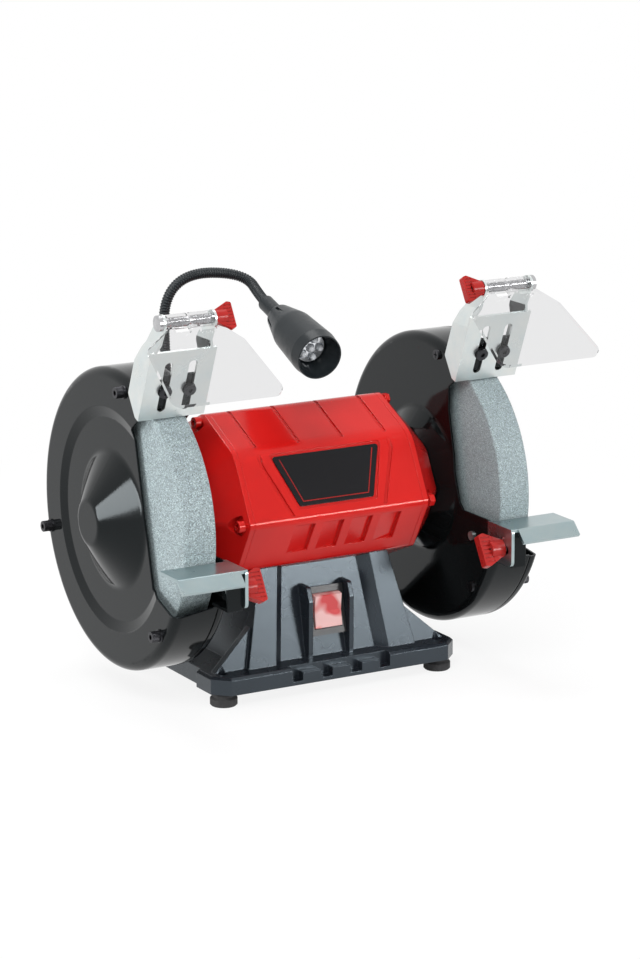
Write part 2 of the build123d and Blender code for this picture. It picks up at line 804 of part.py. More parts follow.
def make_strap_screws():
    grip = SHEET + STRAP_T
    places = [polar(GUARD_SCREW_R, angle) for angle in STRAP_DEGS]
    return [pan_head(GUARD_IN, -1, *place, GUARD_SCREW_DIA, grip) for place in places]


def make_hub_screws():
    grip = SHEET + HUB_SCREW_DEPTH
    places = [polar(HUB_SCREW_R, angle) for angle in HUB_SCREW_DEGS]
    return [pan_head(HUB_X + SHEET, 1, *place, HUB_SCREW_DIA, grip) for place in places]


# Spark guards and eye shields, drawn for the right wheel


def spark_prism(points, x0, x1):
    return prism([(*spark_yz(point[0], point[1]), *point[2:]) for point in points], x0, x1)


def make_spark_guard():
    """Zinc channel: slotted plate, side flanges and ears that step in to the shield's rod."""
    half = SPARK_W / 2
    face = [(0, 0), (SPARK_H, 0), (SPARK_H, SPARK_T), (0, SPARK_T)]
    plate = spark_prism(face, WHEEL_X - half, WHEEL_X + half)
    side = [
        (0, 0),
        (0, 5),
        (11, SPARK_FLANGE, 2),
        (SPARK_H - 6, SPARK_FLANGE, 6),
        (ROD_T, ROD_N + EAR_REACH),
        (ROD_T, ROD_N - EAR_REACH),
        (SPARK_H, 0),
    ]
    y, z = rod_point()
    flange = spark_prism(side, WHEEL_X - half, WHEEL_X + half)
    flange += along_x(WHEEL_X - half, WHEEL_X + half, y, z, 2 * EAR_REACH)
    low = SHAFT_Z + spark_yz(0, 0)[1] - 30
    knee = SHAFT_Z + spark_yz(SPARK_H - 8, 0)[1]
    bend = SHAFT_Z + spark_yz(SPARK_H + 7, 0)[1]
    top = SHAFT_Z + spark_yz(ROD_T + 20, 0)[1]
    wall = [
        (half, low),
        (half, knee),
        (EAR_OUT, bend),
        (EAR_OUT, top),
        (EAR_OUT - SPARK_T, top),
        (EAR_OUT - SPARK_T, bend - 0.5),
        (half - SPARK_T, knee - 0.5),
        (half - SPARK_T, low),
    ]
    guard = plate
    for way in (-1, 1):
        strip = outline([(WHEEL_X + way * x, z) for x, z in wall])
        guard += extrude(Plane.XZ * strip, FAR, both=True) & flange
    tilt = radians(SPARK_TILT)
    slot = extrude(SlotOverall(SLOT_LENGTH, SLOT_W), SPARK_T + 2)
    for way in (-1, 1):
        middle = spark_yz(SLOT_LOW + SLOT_LENGTH / 2, -1)
        origin = from_shaft(WHEEL_X + way * SLOT_HALF_PITCH, *middle)
        guard -= Plane(origin, x_dir=(0, -sin(tilt), cos(tilt)), z_dir=(0, cos(tilt), sin(tilt))) * slot
    guard -= along_x(WHEEL_X - SPARK_W, WHEEL_X + SPARK_W, y, z, ROD_DIA + 2 * FIT)
    return guard


def make_spark_screws():
    """Two screws through the slots into the guard's tab."""
    n0 = SPARK_T + SLIDE_GAP
    screws = []
    for way in (-1, 1):
        x = WHEEL_X + way * SLOT_HALF_PITCH
        tip = from_shaft(x, *spark_yz(SPARK_SCREW_T, n0 + SHEET + 4))
        seat = from_shaft(x, *spark_yz(SPARK_SCREW_T, -SLIDE_GAP))
        crown = from_shaft(x, *spark_yz(SPARK_SCREW_T, -SLIDE_GAP - 3))
        screw = rod(tip, seat, SPARK_SCREW_DIA) + rod(seat, crown, 2 * SPARK_SCREW_DIA)
        screws.append(screw)
    return screws


def rod_point():
    return spark_yz(ROD_T, ROD_N)


def make_shield_rod():
    """Pivot rod with a round head outside the outer ear and a free end for the knob."""
    y, z = rod_point()
    outer = WHEEL_X + EAR_OUT
    rod_end = WHEEL_X - EAR_OUT - 0.6 * SHIELD_KNOB[1]
    pin = along_x(rod_end, outer, y, z, ROD_DIA)
    return pin + along_x(outer, outer + 3, y, z, 1.9 * ROD_DIA)


def shield_plane():
    """Plane of the eye shield at the rod: x along the rod, y down the shield, z out of its upper face."""
    fall = radians(SHIELD_FALL)
    y, z = rod_point()
    return Plane(from_shaft(WHEEL_X, y, z), x_dir=(-1, 0, 0), z_dir=(0, -sin(fall), cos(fall)))


def make_eye_shield():
    """Clear plate with a narrow root, two windows and two knuckles round the rod."""
    plane = shield_plane()
    root = EAR_OUT - SPARK_T - KNUCKLE_END_GAP
    low, waist = SHIELD_LOW_W / 2, EAR_REACH + 3
    points = [
        (root, 0),
        (root, waist),
        (SHIELD_WIDE, SHIELD_SHOULDER, 4),
        (low, SHIELD_REACH, 7),
        (-low, SHIELD_REACH, 7),
        (-SHIELD_NARROW, SHIELD_SHOULDER, 4),
        (-root, waist),
        (-root, 0),
    ]
    rise = KNUCKLE_DIA / 2 - SHIELD_T
    plate = extrude(plane.offset(rise) * outline(points), SHIELD_T)
    y, z = rod_point()
    knuckles = along_x(WHEEL_X - root, WHEEL_X + root, y, z, KNUCKLE_DIA)
    shield = plate + knuckles
    gap = KNUCKLE_GAP / 2
    reach = KNUCKLE_DIA / 2 + 2
    shield -= plane * Box(KNUCKLE_GAP, 2 * reach, 3 * KNUCKLE_DIA)
    window = Box(root - gap - 5, 7, 3 * KNUCKLE_DIA)
    for way in (-1, 1):
        shield -= plane * Pos(way * (gap + root) / 2, KNUCKLE_DIA / 2 + 5, 0) * window
    return shield - along_x(WHEEL_X - FAR, WHEEL_X + FAR, y, z, ROD_DIA + 2 * RUN_GAP)


# Wing knobs


def make_knob(span, length, bore, depth):
    """Wing knob standing on z = 0: hub, ribbed wings that widen to a flat top, blind bore from below."""
    hub, thick = span * 0.27, span * 0.26
    knob = Cylinder(hub, length * 0.6, align=UP)
    half = [(hub * 0.9, 0.5), (span / 2, length * 0.78, 2), (span * 0.46, length, 1.5)]
    wings = half + [(-x, *rest) for x, *rest in reversed(half)]
    knob += extrude(Plane.XZ * outline(wings), thick / 2, both=True)
    groove = Box(span * 0.04, thick * 0.2, length * 0.4, align=(Align.CENTER, Align.CENTER, Align.MAX))
    for i in range(-3, 4):
        for way in (-1, 1):
            knob -= Pos(i * span * 0.12, way * thick / 2, length * 0.92) * groove
    return knob - Cylinder(bore / 2 + FIT, depth, align=UP)


def knob_on_x(knob, x, y, z):
    """Turn a knob so that its seat is at x and its wings point to -X, up and down."""
    plane = Plane(origin=from_shaft(x, y, z), x_dir=(0, 0.5, 0.866), z_dir=(-1, 0, 0))
    return plane * knob


def make_shield_knob():
    span, length = SHIELD_KNOB
    y, z = rod_point()
    return knob_on_x(make_knob(span, length, ROD_DIA, length * 0.65), WHEEL_X - EAR_OUT - RUN_GAP, y, z)


# Tool rests, drawn for the right wheel


def rest_back():
    return -sqrt(WHEEL_R**2 - REST_DROP**2) - REST_GAP


def lug_x():
    """Inner and outer face of the rest's lug, which slides on the bracket's web."""
    outer = GUARD_IN + SHEET - SLIDE_GAP
    return outer - REST_T, outer


def stud_point():
    return rest_back() - STUD_BACK, -STUD_DROP


def make_tool_rest():
    """Zinc table with a front lip and a slotted lug bent down at its inner end."""
    back = rest_back()
    front = back - REST_DEPTH
    drop = REST_LIP * 0.707
    t = REST_T
    profile = [
        (back, -REST_DROP),
        (front, -REST_DROP, 2),
        (front - drop, -REST_DROP - drop),
        (front - drop + 0.707 * t, -REST_DROP - drop - 0.707 * t),
        (front + 0.414 * t, -REST_DROP - t, 1),
        (back, -REST_DROP - t),
    ]
    x0, x1 = lug_x()
    rest = prism(profile, x0 + 6, x0 + REST_W)
    low = -REST_DROP - t
    rest += prism([(back, -REST_DROP), (front, -REST_DROP), (front, low), (back, low)], x0, x0 + 7)
    lug_back = back + LUG_GAP_BACK - 1
    lug = [
        (lug_back, -REST_DROP),
        (lug_back - LUG_DEPTH, -REST_DROP, 3),
        (lug_back - LUG_DEPTH, -REST_DROP - LUG_DROP, 4),
        (lug_back, -REST_DROP - LUG_DROP, 4),
    ]
    rest += prism(lug, x0, x1)
    y, z = stud_point()
    slot = SlotOverall(LUG_SLOT, STUD_DIA + 2 * RUN_GAP)
    middle = y + 3.0
    rest -= extrude(side_plane(x0 - 1) * Pos(middle, z) * slot, REST_T + 2)
    return rest


def bracket_rivet_points():
    y0 = rest_back() + LUG_GAP_BACK
    return [(y0 + 8, -STUD_DROP), (y0 + 22, -STUD_DROP)]


def make_rest_bracket():
    """Black pressed bracket: web on the guard's inner piece, with a front and a lower flange."""
    y, z = stud_point()
    x0 = GUARD_IN + SHEET
    x1 = x0 + BRACKET_T
    front = y - 10
    back = rest_back() + LUG_GAP_BACK + 30
    top = -REST_DROP - REST_T - 1
    low = z - 13
    shelf_back = rest_back() - 2
    outer = [(front, top), (front, low), (shelf_back, low), (shelf_back + 4, low + 4)]
    web = prism(outer + [(back, low + 4, 4), (back, top, 4)], x0, x1)
    inside, above = front + BRACKET_T, low + BRACKET_T
    nose = [(front, top), (front, low), (inside, low), (inside, top)]
    shelf = [(front, low), (shelf_back, low), (shelf_back, above), (front, above)]
    bracket = web
    for flange in (nose, shelf):
        bracket += prism(flange, x0, x0 + BRACKET_W)
    for hole_y, hole_z in bracket_rivet_points():
        bracket -= along_x(x0 - 1, x1 + 1, hole_y, hole_z, HUB_SCREW_DIA + 2 * FIT)
    return bracket - along_x(x0 - 1, x1 + 1, y, z, STUD_DIA + 2 * FIT)


def make_rest_studs():
    """Stud for the knob with its head behind the bracket, and the two rivets of the bracket."""
    y, z = stud_point()
    seat = GUARD_IN + SHEET + BRACKET_T
    knob_seat = lug_x()[0] - RUN_GAP
    reach = 0.6 * REST_KNOB[1]
    stud = along_x(knob_seat - reach, seat, y, z, STUD_DIA)
    pieces = [stud + along_x(seat, seat + 3, y, z, 2.2 * STUD_DIA)]
    for rivet_y, rivet_z in bracket_rivet_points():
        rivet = along_x(GUARD_IN, seat, rivet_y, rivet_z, HUB_SCREW_DIA)
        rivet += along_x(seat, seat + 1.5, rivet_y, rivet_z, 1.7 * HUB_SCREW_DIA)
        rivet += along_x(GUARD_IN - 1.5, GUARD_IN, rivet_y, rivet_z, 1.7 * HUB_SCREW_DIA)
        pieces.append(rivet)
    return pieces


def make_rest_knob():
    span, length = REST_KNOB
    y, z = stud_point()
    return knob_on_x(make_knob(span, length, STUD_DIA, length * 0.65), lug_x()[0] - RUN_GAP, y, z)


# Base


def plan(points, z, height):
    return extrude(Plane.XY.offset(z) * outline(points), height)


def base_outline(inset):
    w, d, c = BASE_W / 2 - inset, BASE_D / 2 - inset, BASE_CHAMFER - 0.4 * inset
    front = [(-w, c - d), (c - w, -d), (w - c, -d), (w, c - d)]
    return front + [(x, -y) for x, y in reversed(front)]


def rect(w, d):
    return [(-w / 2, -d / 2), (w / 2, -d / 2), (w / 2, d / 2), (-w / 2, d / 2)]


def frustum(low, z0, high, z1):
    """Ruled block between two outlines with as many corners."""
    return loft([Plane.XY.offset(z0) * outline(low), Plane.XY.offset(z1) * outline(high)], ruled=True)


def leg_size(z):
    """Width and depth of the pedestal at a height above the bench."""
    top = SHAFT_Z - LEG_TOP_DROP
    share = (z - PLATE_Z) / (top - PLATE_Z)
    return (
        LEG_FOOT_W + (LEG_TOP_W - LEG_FOOT_W) * share,
        LEG_FOOT_D + (LEG_TOP_D - LEG_FOOT_D) * share,
        PANEL_FOOT_W + (PANEL_TOP_W - PANEL_FOOT_W) * share,
    )


def panel_cut(z, way):
    """Outline at height z of the recess between the legs, with walls at 45 degrees."""
    _, depth, width = leg_size(z)
    back = depth / 2 - PANEL_DEPTH
    front = depth / 2 + PANEL_DEPTH
    w0, w1 = width / 2, width / 2 + 2 * PANEL_DEPTH
    return [(-w1, way * front), (w1, way * front), (w0, way * back), (-w0, way * back)]


def bolt_points():
    return [(x * BOLT_DX / 2, y * BOLT_DY / 2) for x in (-1, 1) for y in (-1, 1)]


def post_points():
    dx, dy = BASE_W / 2 - POST_INSET[0], BASE_D / 2 - POST_INSET[1]
    return [(x * dx, y * dy) for x in (-1, 1) for y in (-1, 1)]


def gusset(z, end, way):
    """Outline at height z of a gusset at the front or back (end) of a leg, on one side (way)."""
    width, depth, _ = leg_size(z)
    share = (z - PLATE_Z) / GUSSET_TOP
    root, foot = width / 2 - PED_WALL, BASE_W / 2 - GUSSET_TOE
    toe = foot + (width / 2 - 1 - foot) * share
    face = end * (depth / 2 - GUSSET_SET)
    back = face - end * GUSSET_T
    return [(way * root, face), (way * toe, face), (way * toe, back), (way * root, back)]


def make_base():
    """Hollow casting: skirted plate, pedestal with recessed panels, gussets and a saddle for the motor."""
    base = plan(base_outline(0), FOOT_H, SKIRT_H)
    base = chamfer(base.faces().sort_by(Axis.Z)[-1].outer_wire().edges(), 2)
    crown = SHAFT_Z - SADDLE_DROP
    low, high = leg_size(PLATE_Z - 1), leg_size(crown)
    pedestal = frustum(rect(*low[:2]), PLATE_Z - 1, rect(*high[:2]), crown)
    for way in (-1, 1):
        pedestal -= frustum(panel_cut(PLATE_Z, way), PLATE_Z, panel_cut(crown + 1, way), crown + 1)
    base += pedestal
    # Gussets beside the legs, front and back
    foot, top = PLATE_Z - 1, PLATE_Z + GUSSET_TOP
    for end in (-1, 1):
        for way in (-1, 1):
            base += frustum(gusset(foot, end, way), foot, gusset(top, end, way), top)
    # Notches in the skirt: three blocks at the front and back, plain at the sides
    sill = FOOT_H + NOTCH_SILL
    for way in (-1, 1):
        notch = Pos(0, way * BASE_D / 2, sill) * Box(NOTCH_W, 2 * NOTCH_D, SKIRT_H, align=UP)
        for i in (-1, 0, 1):
            block = Box(NOTCH_BLOCK_W, 2 * NOTCH_D, NOTCH_BLOCK_H, align=UP)
            notch -= Pos(i * NOTCH_PITCH, way * BASE_D / 2, sill) * block
        base -= notch
        side = Box(2 * SIDE_NOTCH_D, BASE_D - 2 * SIDE_NOTCH_END, SKIRT_H + 2, align=UP)
        base -= Pos(way * BASE_W / 2, 0, FOOT_H - 1) * side
    # Switch cheeks on the front panel
    base += make_cheeks()
    # Saddle, cavity and bolt holes
    base -= extrude(side_plane(-FAR) * offset(outline(body_points()), FIT), 2 * FAR)
    inner_low = leg_size(FOOT_H)
    cavity_top = SHAFT_Z - BODY_BOTTOM - 8
    inner_high = leg_size(cavity_top)
    cavity = frustum(
        rect(inner_low[0] - 4 * PED_WALL, inner_low[1] - 2 * PANEL_DEPTH - 2 * PED_WALL),
        FOOT_H - 1,
        rect(inner_high[0] - 4 * PED_WALL, inner_high[1] - 2 * PANEL_DEPTH - 2 * PED_WALL),
        cavity_top,
    )
    hollow = plan(base_outline(HOLLOW_INSET), FOOT_H - 1, SKIRT_H - BASE_TOP_T + 1)
    for x, y in bolt_points():
        hollow -= Pos(x, y, FOOT_H - 1) * Cylinder(FOOT_DIA / 2 + 1, SKIRT_H, align=UP)
    for x, y in post_points():
        hollow -= Pos(x, y, FOOT_H + BOTTOM_T) * Cylinder(POST_DIA / 2, SKIRT_H, align=UP)
    base -= hollow + cavity
    for x, y in bolt_points():
        base -= Pos(x, y, 0) * Cylinder(BOLT_HOLE / 2, PLATE_Z + 20, align=UP)
    for x, y in post_points():
        base -= Pos(x, y, FOOT_H) * Cylinder(POST_SCREW_DIA / 2, SKIRT_H - BASE_TOP_T, align=UP)
    base -= switch_opening()
    for (x, y, z), dia in ((gland_point(), GLAND_DIA), (socket_point(), SOCKET_DIA)):
        base -= rod((x, y - 25, z), (x, y + 10, z), dia + 2 * FIT)
        base -= rod((x, y, z), (x, y + 10, z), COLLAR * dia + 1)
    return base


def make_bottom_plate():
    sheet = plan(base_outline(HOLLOW_INSET + BOTTOM_GAP), FOOT_H, BOTTOM_T)
    for x, y in bolt_points():
        sheet -= Pos(x, y, 0) * Cylinder(FOOT_DIA / 2 + 1 + BOTTOM_GAP, PLATE_Z, align=UP)
    for x, y in post_points():
        sheet -= Pos(x, y, 0) * Cylinder(POST_SCREW_DIA / 2 + FIT, PLATE_Z, align=UP)
    return sheet


def make_bottom_screws():
    screws = []
    for x, y in post_points():
        head, shank = POST_SCREW_DIA / 2, POST_SCREW_DIA / 2 - FIT
        screw = Pos(x, y, FOOT_H - head) * Cylinder(0.95 * POST_SCREW_DIA, head, align=UP)
        screws.append(screw + Pos(x, y, FOOT_H) * Cylinder(shank, SKIRT_H / 2, align=UP))
    return screws


def make_feet():
    """Rubber feet with a waist, bored for the bench bolts."""
    feet = []
    r, bore = FOOT_DIA / 2, BOLT_HOLE / 2
    for x, y in bolt_points():
        foot = [(bore, 0), (r - 1, 0), (r, 1), (r, FOOT_H * 0.55)]
        foot += [(r - 1.5, FOOT_H * 0.7), (r - 1.5, FOOT_H), (bore, FOOT_H)]
        feet.append(Pos(x, y, 0) * revolve(Plane.XZ * outline(foot), Axis.Z))
    return feet


# Switch


def switch_plane():
    """Plane on the front panel at the switch: x to the right, y up the panel, z out of it."""
    top, foot = SHAFT_Z - LEG_TOP_DROP, PLATE_Z
    lean = atan2((LEG_FOOT_D - LEG_TOP_D) / 2, top - foot)
    z = SHAFT_Z - SWITCH_DROP
    y = -leg_size(z)[1] / 2 + PANEL_DEPTH
    return Plane(origin=(0, y, z), x_dir=(1, 0, 0), z_dir=(0, -cos(lean), sin(lean)))


def switch_opening():
    return switch_plane() * Box(SWITCH_W - 2 * SWITCH_RIM, SWITCH_H - 2 * SWITCH_RIM, 3 * SWITCH_BODY)


def make_cheeks():
    """Two upright cheeks that guard the rocker from the sides."""
    plane = switch_plane()
    cheeks = Part()
    high, low = SWITCH_H / 2 + CHEEK_ABOVE, -SWITCH_H / 2 - CHEEK_BELOW
    root = -PED_WALL / 2
    front = [(CHEEK_OUT * 0.35, low, 1), (CHEEK_OUT, high - 14, 3), (CHEEK_OUT - 2, high - 3, 2)]
    section = [(root, low), *front, (root, high)]
    points = [(out, -up, *more) for out, up, *more in section]
    for way in (-1, 1):
        start = way * (SWITCH_W / 2 + RUN_GAP + CHEEK_T / 2) - CHEEK_T / 2
        corner = plane.origin + plane.x_dir * start
        flat = Plane(corner, x_dir=plane.z_dir, z_dir=plane.x_dir)
        cheeks += extrude(flat * outline(points), CHEEK_T)
    return cheeks


def make_switch_body():
    """Snap-in switch: frame on the panel, body through it, pocket for the rocker."""
    plane = switch_plane()
    frame = Box(SWITCH_W, SWITCH_H, SWITCH_OUT, align=UP)
    rim = SWITCH_RIM + 4 * FIT
    body = Box(SWITCH_W - 2 * rim, SWITCH_H - 2 * rim, SWITCH_BODY, align=UP)
    pocket = Pos(0, 0, -14) * Box(ROCKER_W + 2 * RUN_GAP, 2 * (ROCKER_R + RUN_GAP), 30, align=UP)
    pins = Part()
    for way in (-1, 1):
        pins += Pos(way * 6, 0, -SWITCH_BODY - 8) * Box(0.8, 6.3, 8.5, align=UP)
    return plane * (frame + Pos(0, 0, -SWITCH_BODY) * body - pocket + pins)


def make_rocker():
    """Rocker with two faces that meet in a shallow valley, round towards the frame, tipped to off."""
    plane = switch_plane().offset(SWITCH_OUT - 2)
    r = ROCKER_R
    rise = 4.5
    lens = Rot(0, 90, 0) * Cylinder(r, ROCKER_W)
    valley = [(-r - 1, rise + 1.2), (0, rise - 0.8), (r + 1, rise + 1.2)]
    section = outline(valley + [(r + 1, -6), (-r - 1, -6)])
    block = extrude(Plane.YZ.offset(-ROCKER_W / 2) * section, ROCKER_W)
    return plane * (Rot(ROCKER_TILT, 0, 0) * (lens & block))


# Inlets at the back of the pedestal and what lies inside it


def back_panel_y(z):
    return leg_size(z)[1] / 2 - PANEL_DEPTH


def gland_point():
    z = SHAFT_Z - GLAND_DROP
    return (GLAND_X, back_panel_y(z) - SPOT_FACE, z)


def socket_point():
    x, _, z = NECK_ROOT
    return (x, leg_size(SHAFT_Z + z)[1] / 2 - SPOT_FACE, SHAFT_Z + z)


def make_gland():
    """Cord inlet with a hexagonal collar, bored for a cord."""
    x, y, z = gland_point()
    plane = Plane(origin=(x, y, z), x_dir=(1, 0, 0), z_dir=(0, 1, 0))
    gland = Pos(0, 0, -THREAD) * Cylinder(GLAND_DIA / 2, THREAD, align=UP)
    gland += extrude(RegularPolygon(COLLAR * GLAND_DIA / 2, 6), COLLAR_T)
    gland += Pos(0, 0, COLLAR_T) * Cone(GLAND_DIA * 0.45, GLAND_DIA * 0.34, GLAND_NOSE, align=UP)
    return plane * (gland - Cylinder(CORD_HOLE / 2, 3 * THREAD))


def make_lamp_socket():
    """Threaded ferrule that holds the gooseneck in the pedestal's left back leg."""
    x, y, z = socket_point()
    start = NECK_ROOT[1]
    plane = Plane(origin=(x, y, z), x_dir=(1, 0, 0), z_dir=(0, 1, 0))
    socket = Pos(0, 0, -THREAD) * Cylinder(SOCKET_DIA / 2, THREAD, align=UP)
    socket += extrude(RegularPolygon(COLLAR * SOCKET_DIA / 2, 6), COLLAR_T)
    socket += Pos(0, 0, COLLAR_T) * Cylinder(NECK_DIA / 2 + 2, 3, align=UP)
    bore = Pos(0, 0, start - y) * Cylinder(NECK_DIA / 2 + FIT, 3 * THREAD, align=UP)
    return plane * (socket - bore - Cylinder(NECK_BORE / 2, 3 * THREAD))


def make_capacitor():
    """Run capacitor lying across the pedestal's cavity."""
    can = Rot(0, 90, 0) * fillet(Cylinder(CAPACITOR_DIA / 2, CAPACITOR_LENGTH).edges(), 2)
    return Pos(*CAPACITOR_AT, FOOT_H + BOTTOM_T + CAPACITOR_DIA / 2) * can


def make_terminal_block():
    """Terminal block on the bottom plate, with three wells for its screws."""
    block = Box(*TERMINAL_SIZE, align=UP)
    well = Cylinder(TERMINAL_PITCH * 0.27, TERMINAL_SIZE[2], align=UP)
    for i in (-1, 0, 1):
        block -= Pos(i * TERMINAL_PITCH, 0, TERMINAL_SIZE[2] / 2) * well
    return Pos(*TERMINAL_AT, FOOT_H + BOTTOM_T) * block


# Lamp


def neck_points():
    """Neck's route from the socket to the lamp head, in two lists that meet past the crown."""
    points = [Vector(*from_shaft(*p)) for p in (NECK_ROOT, NECK_KNEE, NECK_CROWN, NECK_TURN, NECK_DIP)]
    tail = points[-1] + Vector(*HEAD_AXIS).normalized() * NECK_TAIL
    split = points[2] + (points[3] - points[2]).normalized() * NECK_SPLIT
    return points[:3] + [split], [split] + points[3:] + [tail]


def make_neck(points, radii):
    """Ribbed tube along runs and arcs, four circles to a rib, with its bore."""
    route = FilletPolyline(*points, radius=radii)
    ribs = round(route.length / RIB_PITCH)
    crest, root = NECK_DIA / 2, NECK_DIA / 2 - RIB_DEPTH

    def circle(at, r):
        return Plane(origin=route @ at, x_dir=(1, 1, 1), z_dir=route % at) * Circle(r)

    stretches = []
    for start in range(0, ribs, RIBS_IN_A_LOFT):
        end = min(start + RIBS_IN_A_LOFT, ribs)
        rings = []
        for rib in range(start, end):
            for share, r in ((0.0, root), (0.3, crest), (0.6, crest), (0.9, root)):
                rings.append(circle((rib + share) / ribs, r))
        rings.append(circle(end / ribs, root))
        stretches.append(loft(rings, ruled=True))
    bore = sweep(Plane(origin=route @ 0, z_dir=route % 0) * Circle(NECK_BORE / 2), path=route)
    return Part() + stretches - bore


def head_plane():
    """Plane at the lamp head's root, z pointing out of the lamp."""
    _, upper = neck_points()
    return Plane(origin=upper[-1], x_dir=(1, 0, 0), z_dir=HEAD_AXIS)


def head_turned(points):
    return head_plane() * revolve(Plane.XZ * outline(points), Axis.Z)


def make_lamp_head():
    """Bell with a sleeve for the neck, a conical mouth and cooling slots along its shoulder."""
    r, mouth = HEAD_DIA / 2, HEAD_MOUTH / 2
    floor = HEAD_LENGTH - HEAD_RECESS
    sleeve = NECK_DIA / 2 + 2
    head = head_turned(
        [
            (0, -8),
            (sleeve, -8),
            (sleeve, 12, 2),
            (r * 0.55, 17, 5),
            (r * 0.88, 42, 20),
            (r, HEAD_LENGTH - 10, 4),
            (r - 1, HEAD_LENGTH),
            (mouth, HEAD_LENGTH),
            (mouth - HEAD_TAPER, floor),
            (0, floor),
        ]
    )
    slot = Pos(r * 0.8, 0, 28) * Rot(0, 20, 0) * Box(5, 2, 18)
    for i in range(HEAD_SLOTS):
        head -= head_plane() * (Rot(0, 0, 360 / HEAD_SLOTS * i) * slot)
    return head - head_plane() * (Pos(0, 0, -9) * Cylinder(NECK_DIA / 2 + FIT, 9, align=UP))


def make_reflector():
    """Bright plate at the bottom of the bell with a cup round each diode."""
    floor = HEAD_LENGTH - HEAD_RECESS
    r = HEAD_MOUTH / 2 - HEAD_TAPER - 0.5
    plate = Cylinder(r, 3, align=UP)
    for place in led_spots():
        plate -= place * Pos(0, 0, 1) * Cone(LED_DIA / 2 + 0.1, LED_DIA / 2 + 0.9, 2, align=UP)
    return head_plane() * Pos(0, 0, floor) * plate


def led_spots():
    """One diode in the middle and the rest on a circle round it."""
    around = LED_COUNT - 1
    circle = [Rot(0, 0, 360 * i / around) * Pos(LED_RING_R, 0, 0) for i in range(around)]
    return [Pos(0, 0, 0)] + circle


def make_leds():
    floor = HEAD_LENGTH - HEAD_RECESS + 1
    diode = fillet(Cylinder(LED_DIA / 2, 6, align=UP).edges().sort_by(Axis.Z)[-1], LED_DIA / 2 - 0.2)
    return [head_plane() * Pos(0, 0, floor) * spot * diode for spot in led_spots()]


def both(solids):
    """A list of solids with their mirror images."""
    return solids + [mirrored(solid) for solid in solids]


def make_all():
    nodes = {
        "shaft": make_shaft(),
        "rotor_core": make_rotor_core(),
        "wheel_flanges": both(make_flanges()),
        "wheel_blotters": both(make_blotters()),
        "wheel_nuts": both([make_nut()]),
        "bearing_outer_rings": both([make_bearing_outer()]),
        "bearing_inner_rings": both([make_bearing_inner()]),
        "motor_shell": make_motor_shell(),
        "label_plate": make_label_plate(),
        "tie_bolts": make_tie_bolts(),
        "stator_core": make_stator_core(),
        "stator_windings": make_windings(),
        "guard_straps": both(make_straps()),
        "guard_cover_screws": both(make_cover_screws()),
        "guard_strap_screws": both(make_strap_screws()),
        "guard_hub_screws": both(make_hub_screws()),
        "spark_guard_screws": both(make_spark_screws()),
        "rest_studs": both(make_rest_studs()),
        "base_casting": make_base(),
        "bottom_plate": make_bottom_plate(),
        "bottom_screws": make_bottom_screws(),
        "rubber_feet": make_feet(),
        "switch_body": make_switch_body(),
        "switch_rocker": make_rocker(),
        "cord_gland": make_gland(),
        "capacitor": make_capacitor(),
        "terminal_block": make_terminal_block(),
        "lamp_socket": make_lamp_socket(),
        "lamp_head": make_lamp_head(),
        "lamp_reflector": make_reflector(),
        "lamp_leds": make_leds(),
    }
    lower, upper = neck_points()
    nodes["gooseneck_lower"] = make_neck(lower, NECK_RADII[:2])
    nodes["gooseneck_upper"] = make_neck(upper, NECK_RADII[2:])
    nodes.update(make_guards())
    # Both eye shields are cut the same way round
    nodes["eye_shield_right"] = make_eye_shield()
    nodes["eye_shield_left"] = Pos(-2 * WHEEL_X, 0, 0) * make_eye_shield()
    paired = {
        "wheel": make_wheel(),
        "end_shield": make_end_shield(),
        "spark_guard": make_spark_guard(),
        "shield_rod": make_shield_rod(),
        "shield_knob": make_shield_knob(),
        "tool_rest": make_tool_rest(),
        "rest_bracket": make_rest_bracket(),
        "rest_knob": make_rest_knob(),
    }
    for name, solid in paired.items():
        for side, copy in pair(solid).items():
            nodes[f"{name}_{side}"] = copy
    return nodes


os.makedirs("parts", exist_ok=True)
for node, shape in make_all().items():
    solid = Compound(children=shape) if isinstance(shape, list) else shape
    export_step(solid, f"parts/{node}.step")
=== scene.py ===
from math import cos, pi, radians, sin

import bmesh
import bpy
from bpy.props import FloatProperty, FloatVectorProperty, PointerProperty
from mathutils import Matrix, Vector


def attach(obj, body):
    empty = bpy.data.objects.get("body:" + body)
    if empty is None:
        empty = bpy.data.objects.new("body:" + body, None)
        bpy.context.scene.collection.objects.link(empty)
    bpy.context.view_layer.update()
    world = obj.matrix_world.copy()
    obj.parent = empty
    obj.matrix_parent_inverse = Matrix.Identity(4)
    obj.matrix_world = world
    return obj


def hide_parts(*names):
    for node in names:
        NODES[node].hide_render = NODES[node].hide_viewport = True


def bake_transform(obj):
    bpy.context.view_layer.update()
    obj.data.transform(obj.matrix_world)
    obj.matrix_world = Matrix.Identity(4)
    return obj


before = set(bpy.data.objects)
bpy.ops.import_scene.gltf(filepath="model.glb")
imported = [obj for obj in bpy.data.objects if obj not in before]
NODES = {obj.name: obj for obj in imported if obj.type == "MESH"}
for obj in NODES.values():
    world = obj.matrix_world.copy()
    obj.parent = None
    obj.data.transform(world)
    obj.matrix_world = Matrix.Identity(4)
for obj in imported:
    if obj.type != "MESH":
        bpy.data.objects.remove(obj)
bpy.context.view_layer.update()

bl_info = {
    "name": "Bench grinder",
    "version": (1, 0, 0),
    "blender": (4, 5, 0),
    "location": "View3D > Sidebar > Grinder",
    "description": "Dresses a bench grinder in paint, zinc, grit and clear plastic",
    "category": "Object",
}

SIDES = {"left": -1.0, "right": 1.0}
MM = 0.001

